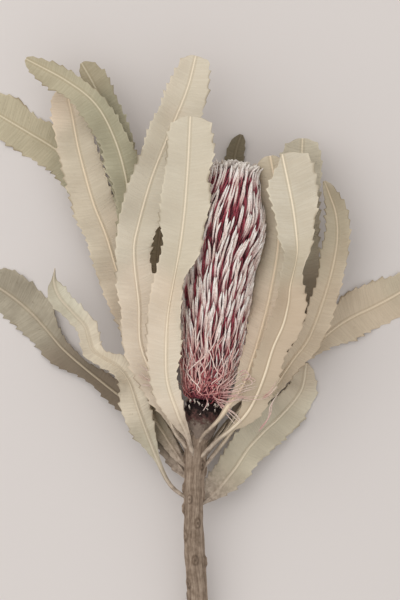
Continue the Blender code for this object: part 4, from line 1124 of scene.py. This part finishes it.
add_leaf(
    "leaf_tall_left", cream_leaf, 2,
    midrib=(
        (-3.6, -39.5, 22.4), (-8.0, -34.5, 23.4), (-13.0, -27.0, 23.8), (-19.4, -9.0, 24.4),
        (-28.4, 12.6, 25.0), (-29.6, 34.0, 26.0), (-32.0, 58.0, 27.0), (-29.6, 73.0, 27.6),
        (-23.3, 95.0, 28.4), (-15.5, 115.0, 29.2), (-6.3, 137.5, 30.0), (-2.0, 154.0, 30.4),
    ),
    widths=(
        (0.0, 1.3, 1.3), (0.09, 1.6, 1.6), (0.16, 6.2, 5.2), (0.27, 9.2, 8.0), (0.43, 9.2, 8.6),
        (0.51, 9.2, 7.2), (0.58, 9.4, 8.6), (0.65, 9.6, 9.6), (0.86, 9.6, 10.6), (0.93, 8.6, 10.2),
        (0.975, 7.4, 9.0), (1.0, 4.0, 6.0),
    ),
    lifts=((0.0, 0.0, 0.0), (0.3, 6.0, 6.0), (0.7, 12.0, 6.0), (1.0, 8.0, 10.0)),
    waves=(8.0, 6.0, 0.4),
)
add_leaf(
    "leaf_front_right", warm_leaf, 3,
    midrib=(
        (0.4, -41.0, 23.6), (3.6, -37.6, 26.4), (8.7, -32.4, 28.8), (15.4, -26.8, 31.0),
        (21.9, -20.4, 33.2), (26.4, -13.0, 34.8), (31.4, -0.5, 36.0), (35.4, 12.6, 37.0),
        (40.2, 23.6, 37.7), (42.6, 34.0, 38.1), (43.6, 42.0, 38.4), (46.4, 53.5, 39.0),
        (47.0, 62.0, 39.2), (45.4, 77.0, 39.4), (42.6, 92.0, 39.6), (39.6, 106.0, 39.6),
    ),
    widths=(
        (0.0, 1.2, 1.2), (0.135, 1.5, 1.5), (0.193, 3.2, 4.4), (0.248, 5.2, 6.8), (0.331, 6.6, 6.8),
        (0.414, 6.8, 6.4), (0.479, 7.0, 9.4), (0.539, 6.8, 9.0), (0.602, 7.0, 8.0),
        (0.662, 7.6, 7.6), (0.714, 8.4, 8.2), (0.764, 9.2, 8.8), (0.845, 10.2, 12.2),
        (0.902, 11.2, 13.2), (0.925, 9.4, 13.2), (0.965, 3.0, 12.2), (0.985, 2.0, 11.2),
        (1.0, 1.4, 8.6),
    ),
    lifts=(
        (0.0, 0.0, 0.0), (0.248, 14.0, 4.0), (0.414, 20.0, 12.0), (0.539, 30.0, 16.0),
        (0.627, 36.0, 54.0), (0.689, 36.0, 60.0), (0.752, 20.0, 26.0), (0.845, 8.0, 4.0),
        (1.0, 6.0, 4.0),
    ),
    waves=(7.0, 6.0, 0.3),
)
add_leaf(
    "leaf_spike_right", tan_leaf, 4,
    midrib=(
        (-0.9, -34.4, 25.2), (1.6, -30.2, 28.8), (5.2, -26.6, 31.8), (9.6, -21.8, 33.6),
        (13.6, -15.8, 33.6), (20.9, -6.3, 31.8), (24.6, 4.0, 31.0), (28.0, 14.5, 30.4),
        (32.6, 31.6, 30.0), (36.5, 51.5, 30.0), (38.2, 66.0, 30.0), (38.0, 80.0, 30.4),
        (36.4, 93.0, 31.0), (34.0, 105.5, 31.6),
    ),
    widths=(
        (0.0, 1.2, 1.2), (0.123, 1.3, 1.3), (0.185, 1.8, 2.4), (0.251, 4.4, 4.6), (0.321, 5.0, 6.2),
        (0.393, 5.4, 7.2), (0.511, 8.2, 8.0), (0.644, 10.6, 8.0), (0.739, 11.0, 8.0),
        (0.83, 10.0, 7.8), (0.917, 8.6, 7.2), (0.97, 7.4, 6.0), (1.0, 5.0, 3.8),
    ),
    lifts=(
        (0.0, 0.0, 0.0), (0.321, -8.0, -6.0), (0.393, -12.0, -7.0), (0.511, -28.0, -8.0),
        (0.644, -36.0, -8.0), (0.739, -44.0, -8.0), (0.83, -40.0, -8.0), (0.917, -30.0, -6.0),
        (1.0, -8.0, -4.0),
    ),
    waves=(7.0, 3.0, 0.2),
)
add_leaf(
    "leaf_outer_left", tan_leaf, 5,
    midrib=(
        (-3.8, -43.2, 17.4), (-7.4, -36.5, 15.6), (-12.2, -25.3, 14.2), (-18.0, -10.7, 13.6),
        (-24.3, 5.3, 13.4), (-30.6, 21.0, 13.2), (-36.5, 38.0, 13.2), (-41.3, 52.0, 13.4),
        (-46.0, 67.5, 14.0), (-52.5, 84.0, 14.6), (-59.3, 109.0, 15.4), (-62.7, 127.0, 16.0),
        (-65.6, 139.0, 16.6),
    ),
    widths=(
        (0.0, 1.3, 1.3), (0.12, 1.6, 1.6), (0.24, 5.4, 5.4), (0.42, 8.6, 8.6), (0.6, 10.2, 9.6),
        (0.85, 10.4, 8.6), (0.95, 10.0, 7.6), (1.0, 6.8, 5.0),
    ),
    lifts=((0.0, 0.0, 0.0), (0.5, 4.0, 0.0), (1.0, 6.0, 10.0)),
    waves=(9.0, 6.0, 0.3),
)


# Leaves at the top left and right, behind
# Four more leaves of the same kind, greener because they dried in the shade of the others.
# One of them is darkened all over by painted shade, and another by painted shade on its lower part.
# They are toothed, ribbed and waved like those in front, and grow from the same stretch of stem.

olive_leaf = leaf_material(
    "olive_leaf", blade=(0.49, 0.445, 0.32), shade=(0.29, 0.25, 0.165), rib=(0.68, 0.60, 0.44),
    blotch=0.7, veins=0.4
)
# A darker copy of the olive leaf: the difference is painted shade.
painted_shade_olive_leaf = leaf_material(
    "painted_shade_olive_leaf", blade=(0.45, 0.40, 0.285), shade=(0.25, 0.215, 0.14), rib=(0.58, 0.52, 0.38),
    blotch=0.7, veins=0.4
)
# The very dark Shade colour, faded in over the lower 132 millimetres of the tall right leaf, is painted
# shade.
beige_leaf = leaf_material(
    "beige_leaf", blade=(0.69, 0.61, 0.485), shade=(0.175, 0.138, 0.10), rib=(0.74, 0.64, 0.48),
    blotch=0.28, veins=0.22, stalk=132.0
)

add_leaf(
    "leaf_top_left", olive_leaf, 6,
    midrib=(
        (-3.4, -33.6, 21.6), (-6.6, -29.0, 21.2), (-10.7, -20.4, 20.8), (-17.0, -8.3, 20.6),
        (-24.5, 9.0, 20.6), (-30.5, 30.0, 20.8), (-33.4, 55.0, 21.2), (-34.5, 81.0, 22.4),
        (-36.5, 97.0, 23.6), (-42.0, 115.0, 25.6), (-51.0, 131.0, 27.6), (-65.0, 142.0, 30.0),
        (-84.5, 152.5, 32.0),
    ),
    widths=(
        (0.0, 1.2, 1.2), (0.12, 1.6, 1.6), (0.3, 5.0, 5.0), (0.55, 6.0, 6.0), (0.657, 8.0, 7.8),
        (0.66, 7.4, 8.0), (0.739, 8.2, 5.6), (0.812, 8.2, 4.6), (0.857, 7.2, 4.4),
        (0.897, 6.6, 4.6), (0.945, 6.4, 4.6), (0.96, 5.6, 4.2), (1.0, 2.4, 2.2),
    ),
    lifts=((0.0, 0.0, 0.0), (0.5, -6.0, -6.0), (0.75, 10.0, 0.0), (1.0, 8.0, 18.0)),
    waves=(8.0, 6.0, 0.2),
)
add_leaf(
    "leaf_top_behind", painted_shade_olive_leaf, 7,
    midrib=(
        (-4.2, -37.0, 19.0), (-7.8, -31.5, 18.2), (-12.4, -23.0, 17.4), (-20.0, -8.0, 17.0),
        (-27.0, 12.0, 16.8), (-32.0, 40.0, 17.0), (-34.6, 65.0, 17.2), (-36.6, 85.0, 18.0),
        (-39.4, 100.0, 19.0), (-43.4, 116.0, 20.4), (-47.4, 131.0, 21.8), (-52.6, 142.0, 22.8),
        (-57.8, 151.0, 23.6),
    ),
    widths=(
        (0.0, 1.1, 1.1), (0.12, 1.4, 1.4), (0.3, 4.0, 4.0), (0.6, 4.4, 4.4), (0.662, 5.4, 4.4),
        (0.744, 6.4, 8.0), (0.807, 7.0, 9.8), (0.86, 7.0, 8.4), (0.902, 6.4, 7.0),
        (0.947, 5.0, 7.0), (0.977, 3.4, 6.6), (1.0, 1.4, 4.2),
    ),
    lifts=((0.0, 0.0, 0.0), (0.5, -6.0, -6.0), (1.0, 0.0, 0.0)),
    waves=(8.0, 5.0, 0.6),
)
add_leaf(
    "leaf_far_left", olive_leaf, 8,
    midrib=(
        (-4.4, -46.4, 15.2), (-8.0, -40.4, 11.4), (-13.2, -31.2, 8.8), (-19.8, -15.0, 7.2),
        (-26.6, 5.3, 6.2), (-31.8, 24.0, 4.8), (-36.4, 42.0, 3.8), (-42.0, 60.0, 2.8),
        (-48.6, 77.0, 2.0), (-56.2, 92.6, 1.2), (-65.4, 105.2, 0.4), (-74.4, 112.0, 0.2),
        (-84.4, 118.0, 0.2), (-92.8, 123.0, 0.2), (-105.6, 130.6, 0.2),
    ),
    widths=(
        (0.0, 1.3, 1.3), (0.12, 1.6, 1.6), (0.26, 3.4, 4.2), (0.271, 3.4, 5.6), (0.361, 3.8, 6.4),
        (0.449, 4.4, 7.0), (0.536, 6.4, 7.4), (0.622, 8.4, 7.8), (0.737, 9.8, 8.6),
        (0.817, 10.2, 9.8), (0.855, 10.2, 9.6), (0.895, 10.0, 7.2), (0.932, 9.6, 11.2),
        (0.96, 8.6, 12.6), (1.0, 5.0, 8.6),
    ),
    lifts=((0.0, 0.0, 0.0), (0.4, -3.0, -3.0), (0.7, -4.0, 2.0), (1.0, -2.0, -2.0)),
    waves=(9.0, 4.0, 0.0),
)
add_leaf(
    "leaf_tall_right", beige_leaf, 9,
    midrib=(
        (-0.2, -43.8, 19.0), (4.4, -37.8, 17.6), (12.6, -28.0, 16.4), (22.4, -13.0, 15.2),
        (36.0, 6.3, 14.0), (43.7, 25.8, 12.6), (47.6, 45.2, 12.6), (48.6, 64.6, 13.2),
        (48.6, 84.0, 14.0), (49.6, 99.0, 15.0), (50.2, 114.6, 16.0),
    ),
    widths=(
        (0.0, 1.3, 1.3), (0.12, 1.6, 1.6), (0.25, 4.6, 4.6), (0.42, 7.0, 6.4), (0.6, 9.4, 10.0),
        (0.8, 10.0, 9.4), (0.93, 10.8, 10.0), (0.975, 8.8, 9.4), (1.0, 3.6, 6.0),
    ),
    lifts=((0.0, 0.0, 0.0), (0.5, 0.0, 6.0), (1.0, 6.0, 6.0)),
    waves=(8.0, 6.0, 0.1),
)


# Outer and lower leaves
# The leaves that stand furthest out, browner and more twisted as they dried, and the ones deep
# inside the sprig, darkened by painted shade, as is the inner half of one outer leaf. The lowest
# of them lie flat on the table and carry its weight.

sage_leaf = leaf_material(
    "sage_leaf", blade=(0.70, 0.64, 0.52), shade=(0.36, 0.30, 0.215), rib=(0.60, 0.52, 0.40),
    blotch=0.85, veins=0.32, stalk=26.0
)
faded_leaf = leaf_material(
    "faded_leaf", blade=(0.60, 0.515, 0.395), shade=(0.43, 0.35, 0.25), rib=(0.74, 0.62, 0.46),
    blotch=0.65, veins=0.4
)
# Its cooler tint is painted shade: the low right leaf lies in the shade of the others.
ash_leaf = leaf_material(
    "ash_leaf", blade=(0.72, 0.64, 0.51), shade=(0.53, 0.455, 0.345), rib=(0.80, 0.70, 0.54),
    blotch=0.65, veins=0.4
)
# The near-black Shade colour, faded in over the lower 122 millimetres, is painted shade on the leaf's
# inner half; its pale outer part is its own colour.
brown_painted_shade_leaf = leaf_material(
    "brown_painted_shade_leaf", blade=(0.58, 0.505, 0.395), shade=(0.155, 0.118, 0.082), rib=(0.50, 0.42, 0.31),
    blotch=0.62, veins=0.30, stalk=122.0
)
# Its dark Shade colour, faded in over the lower 84 millimetres, is painted shade deep in the sprig.
inner_leaf = leaf_material(
    "inner_leaf", blade=(0.62, 0.54, 0.39), shade=(0.25, 0.20, 0.14), rib=(0.46, 0.38, 0.27),
    blotch=0.5, veins=0.4, stalk=84.0
)
# Nearly black all over: painted shade for the leaf that lies on the table under the flower spike.
dark_painted_shade_leaf = leaf_material(
    "dark_painted_shade_leaf", blade=(0.235, 0.195, 0.13), shade=(0.13, 0.105, 0.066), rib=(0.25, 0.21, 0.14),
    blotch=0.7, veins=0.4
)

add_leaf(
    "leaf_low_left_front", sage_leaf, 10,
    midrib=(
        (-4.8, -62.2, 18.0), (-12.0, -57.4, 18.6), (-16.4, -52.0, 18.8), (-20.8, -42.4, 19.2),
        (-26.4, -28.0, 19.8), (-30.3, -16.7, 20.4), (-34.2, -5.0, 20.2), (-40.0, 2.8, 20.0),
        (-46.9, 7.2, 19.8), (-52.2, 11.1, 19.8), (-54.2, 16.5, 19.8), (-56.1, 22.8, 19.8),
        (-62.0, 29.2, 19.6), (-68.4, 36.5, 19.2), (-71.3, 43.8, 18.6), (-70.9, 51.1, 18.0),
    ),
    widths=(
        (0.0, 1.2, 1.2), (0.115, 1.3, 1.3), (0.195, 1.8, 1.6), (0.253, 4.4, 2.8), (0.306, 6.6, 4.4),
        (0.393, 7.8, 5.6), (0.484, 6.0, 5.8), (0.554, 5.2, 5.6), (0.614, 5.2, 4.0),
        (0.662, 5.4, 5.0), (0.704, 4.2, 4.6), (0.754, 4.2, 4.8), (0.815, 4.2, 4.6),
        (0.887, 5.2, 5.2), (0.922, 4.8, 4.6), (0.957, 1.2, 1.4), (0.972, 0.6, 0.6),
        (1.0, 0.45, 0.45),
    ),
    lifts=(
        (0.0, 0.0, 0.0), (0.393, 10.0, 6.0), (0.554, 46.0, 14.0), (0.614, 52.0, 40.0),
        (0.662, 24.0, 16.0), (0.815, 22.0, 12.0), (1.0, 8.0, 8.0),
    ),
    waves=(6.0, 9.0, 0.2),
)
add_leaf(
    "leaf_low_left_back", brown_painted_shade_leaf, 11,
    midrib=(
        (-5.0, -52.8, 16.8), (-10.4, -44.8, 15.2), (-19.4, -31.2, 12.4), (-31.8, -18.0, 8.6),
        (-46.4, -6.4, 5.2), (-58.3, 3.2, 3.4), (-67.8, 11.6, 2.0), (-75.6, 20.8, 0.9),
        (-83.8, 29.6, 0.2), (-93.4, 37.6, 0.2), (-105.6, 45.6, 0.2),
    ),
    widths=(
        (0.0, 1.3, 1.3), (0.03, 2.6, 1.6), (0.07, 4.6, 2.2), (0.14, 4.8, 3.0), (0.22, 5.0, 4.2),
        (0.313, 5.6, 5.0), (0.424, 4.6, 5.2), (0.481, 3.6, 4.6), (0.544, 4.6, 3.2),
        (0.591, 7.6, 3.2), (0.644, 9.6, 3.6), (0.707, 9.0, 5.8), (0.769, 9.4, 10.2),
        (0.872, 10.6, 11.2), (0.96, 9.0, 10.6), (1.0, 6.0, 6.4),
    ),
    lifts=(
        (0.0, 0.0, 0.0), (0.4, 8.0, 8.0), (0.6, 0.0, 16.0), (0.72, 0.0, 24.0), (0.8, -2.0, 4.0),
        (1.0, -2.0, -2.0),
    ),
    waves=(6.0, 5.0, 0.5),
)
add_leaf(
    "leaf_mid_back", inner_leaf, 12,
    midrib=(
        (-3.8, -47.6, 19.4), (-8.7, -43.5, 18.2), (-12.8, -37.4, 17.0), (-17.2, -30.6, 15.4),
        (-22.8, -21.5, 12.8), (-25.2, -11.0, 10.8), (-25.0, 3.0, 9.8), (-23.0, 25.0, 9.0),
        (-21.2, 45.0, 8.6), (-20.2, 62.0, 8.6), (-18.8, 80.0, 9.0), (-17.5, 92.0, 9.4),
    ),
    widths=(
        (0.0, 1.2, 1.2), (0.04, 1.8, 1.6), (0.09, 3.4, 2.6), (0.16, 4.4, 3.4), (0.25, 4.6, 4.0),
        (0.4, 5.4, 5.4), (0.7, 8.0, 7.4), (0.93, 6.6, 6.2), (1.0, 3.0, 3.0),
    ),
    lifts=((0.0, 0.0, 0.0), (1.0, 4.0, 4.0)),
    waves=(7.0, 3.0, 0.0),
)
add_leaf(
    "leaf_spike_back", dark_painted_shade_leaf, 13,
    midrib=(
        (-1.6, -51.0, 15.6), (2.0, -42.0, 10.4), (5.0, -30.0, 5.4), (7.4, -16.0, 2.0),
        (9.4, 0.0, 0.2), (11.4, 20.0, 0.2), (13.8, 45.0, 0.2), (16.0, 72.0, 0.2), (17.0, 95.0, 0.2),
        (17.4, 107.0, 1.4), (20.4, 117.0, 3.4),
    ),
    widths=(
        (0.0, 1.3, 1.3), (0.12, 1.6, 1.6), (0.26, 5.6, 5.6), (0.5, 8.6, 8.6), (0.8, 8.4, 8.4),
        (0.90, 4.8, 4.4), (0.975, 4.2, 3.6), (1.0, 1.8, 1.8),
    ),
    lifts=((0.0, 0.0, 0.0), (0.85, 0.0, 0.0), (1.0, 10.0, 10.0)),
    waves=(6.0, 0.0, 0.0),
    crinkle=0.4,
)
add_leaf(
    "leaf_outer_right", faded_leaf, 14,
    midrib=(
        (0.2, -48.0, 21.2), (5.0, -42.0, 21.4), (10.6, -35.0, 21.6), (20.0, -23.0, 22.0),
        (34.0, -9.7, 22.6), (45.2, 6.3, 23.0), (52.5, 16.0, 23.2), (58.8, 31.6, 23.4),
        (63.7, 47.6, 23.4), (66.8, 64.0, 23.4), (66.2, 77.0, 23.6), (63.2, 86.5, 23.8),
        (60.4, 93.4, 24.0),
    ),
    widths=(
        (0.0, 1.2, 1.2), (0.22, 1.5, 1.5), (0.34, 3.0, 3.6), (0.48, 5.0, 6.6), (0.62, 5.6, 6.4),
        (0.78, 6.6, 6.6), (0.9, 5.2, 6.0), (0.97, 3.0, 3.6), (1.0, 1.4, 1.6),
    ),
    lifts=((0.0, 0.0, 0.0), (0.4, 10.0, 6.0), (0.7, 16.0, 20.0), (1.0, 30.0, 16.0)),
    waves=(7.0, 8.0, 0.25),
)
add_leaf(
    "leaf_far_right", faded_leaf, 15,
    midrib=(
        (-0.2, -43.6, 15.4), (4.6, -36.6, 11.6), (9.7, -29.2, 9.8), (17.5, -20.0, 8.6),
        (24.3, -13.0, 7.8), (34.0, -5.3, 6.6), (43.7, 3.0, 5.6), (54.0, 11.2, 3.8),
        (65.8, 21.2, 2.0), (74.6, 26.8, 0.9), (85.0, 31.8, 0.2), (95.0, 37.0, 0.2),
        (105.4, 43.4, 0.2),
    ),
    widths=(
        (0.0, 1.2, 1.2), (0.2, 1.4, 1.4), (0.36, 3.2, 2.6), (0.5, 5.8, 3.0), (0.6, 6.6, 5.6),
        (0.694, 5.4, 9.0), (0.722, 6.6, 9.8), (0.752, 11.2, 10.2), (0.88, 11.0, 10.8),
        (1.0, 6.4, 6.4),
    ),
    lifts=((0.0, 0.0, 0.0), (0.5, 8.0, 8.0), (0.75, 4.0, 0.0), (1.0, -2.0, -2.0)),
    waves=(6.0, 5.0, 0.3),
)
add_leaf(
    "leaf_low_right", ash_leaf, 16,
    midrib=(
        (-0.2, -64.8, 16.8), (7.8, -58.3, 14.6), (12.6, -53.0, 12.8), (18.0, -46.0, 10.8),
        (23.8, -37.4, 8.8), (31.0, -29.6, 6.6), (39.4, -21.8, 4.6), (46.4, -14.0, 2.6),
        (50.6, -6.8, 1.4), (52.4, 4.6, 0.5),
    ),
    widths=(
        (0.0, 1.2, 1.2), (0.04, 3.6, 1.8), (0.08, 6.0, 2.8), (0.16, 8.4, 5.0), (0.26, 9.4, 7.2),
        (0.38, 9.4, 8.6), (0.55, 8.8, 9.2), (0.7, 7.8, 9.8), (0.85, 7.0, 7.0), (0.95, 5.4, 4.4),
        (1.0, 2.4, 2.0),
    ),
    lifts=((0.0, 0.0, 0.0), (0.4, 10.0, 4.0), (0.8, 4.0, -3.0), (1.0, -2.0, -2.0)),
    waves=(6.0, 6.0, 0.6),
)


# Table, light and camera
# A plain pale table top, one broad soft lamp from the upper left and an even pale room. The
# camera looks straight down at the spray from well above it, and takes in VIEW_TALL metres of
# it from top to bottom at VIEW_LEVEL above the table.

TABLE_HALF = 3.0
LAMP_SIDE = 1.5
SENSOR = 36.0
CAMERA_HEIGHT = 1.8
VIEW_LEVEL = 0.028
VIEW_TALL = 0.2916

table_mesh = bpy.data.meshes.new("table_top")
table_corners = [(x * TABLE_HALF, y * TABLE_HALF, 0) for x, y in ((-1, -1), (1, -1), (1, 1), (-1, 1))]
table_mesh.from_pydata(table_corners, [], [(0, 1, 2, 3)])
table = bpy.data.objects.new("table_top", table_mesh)
bpy.context.scene.collection.objects.link(table)
table_look, table_tree, table_shader, _ = new_material("pale_table", 0.95)
table_shader.inputs["Specular IOR Level"].default_value = 0.1
table_coord, table_cloud, table_tone = add_nodes(table_tree, "TexCoord", "TexNoise", "ValToRGB")
set_noise(table_cloud, 3.0, 2.0)
ramp(table_tone, (0.3, (0.665, 0.625, 0.605)), (0.7, (0.69, 0.65, 0.63)))
table_tree.links.new(table_coord.outputs["Object"], table_cloud.inputs["Vector"])
table_tree.links.new(table_cloud.outputs["Fac"], table_tone.inputs[0])
table_tree.links.new(table_tone.outputs["Color"], table_shader.inputs["Base Color"])
table_mesh.materials.append(table_look)

lamp_data = bpy.data.lights.new("soft_lamp", "AREA")
lamp_data.shape = "RECTANGLE"
lamp_data.size = LAMP_SIDE
lamp_data.size_y = LAMP_SIDE
lamp_data.energy = 7.8
lamp_data.color = (1.0, 0.975, 0.95)
lamp = bpy.data.objects.new("soft_lamp", lamp_data)
lamp.location = (-0.75, 0.55, 1.15)
lamp.rotation_euler = (-0.43, -0.56, 0.0)
bpy.context.scene.collection.objects.link(lamp)

room = bpy.data.worlds.new("pale_room")
room.use_nodes = True
room.node_tree.nodes["Background"].inputs["Color"].default_value = (1.0, 0.985, 0.97, 1.0)
room.node_tree.nodes["Background"].inputs["Strength"].default_value = 0.80
bpy.context.scene.world = room
bpy.context.scene.view_settings.view_transform = "Standard"

camera_data = bpy.data.cameras.new("camera")
camera_data.sensor_fit = "VERTICAL"
camera_data.sensor_height = SENSOR
camera_data.lens = SENSOR * (CAMERA_HEIGHT - VIEW_LEVEL) / VIEW_TALL
camera = bpy.data.objects.new("camera", camera_data)
camera.location = (0.0, 0.0355, CAMERA_HEIGHT)
bpy.context.scene.collection.objects.link(camera)
bpy.context.scene.camera = camera
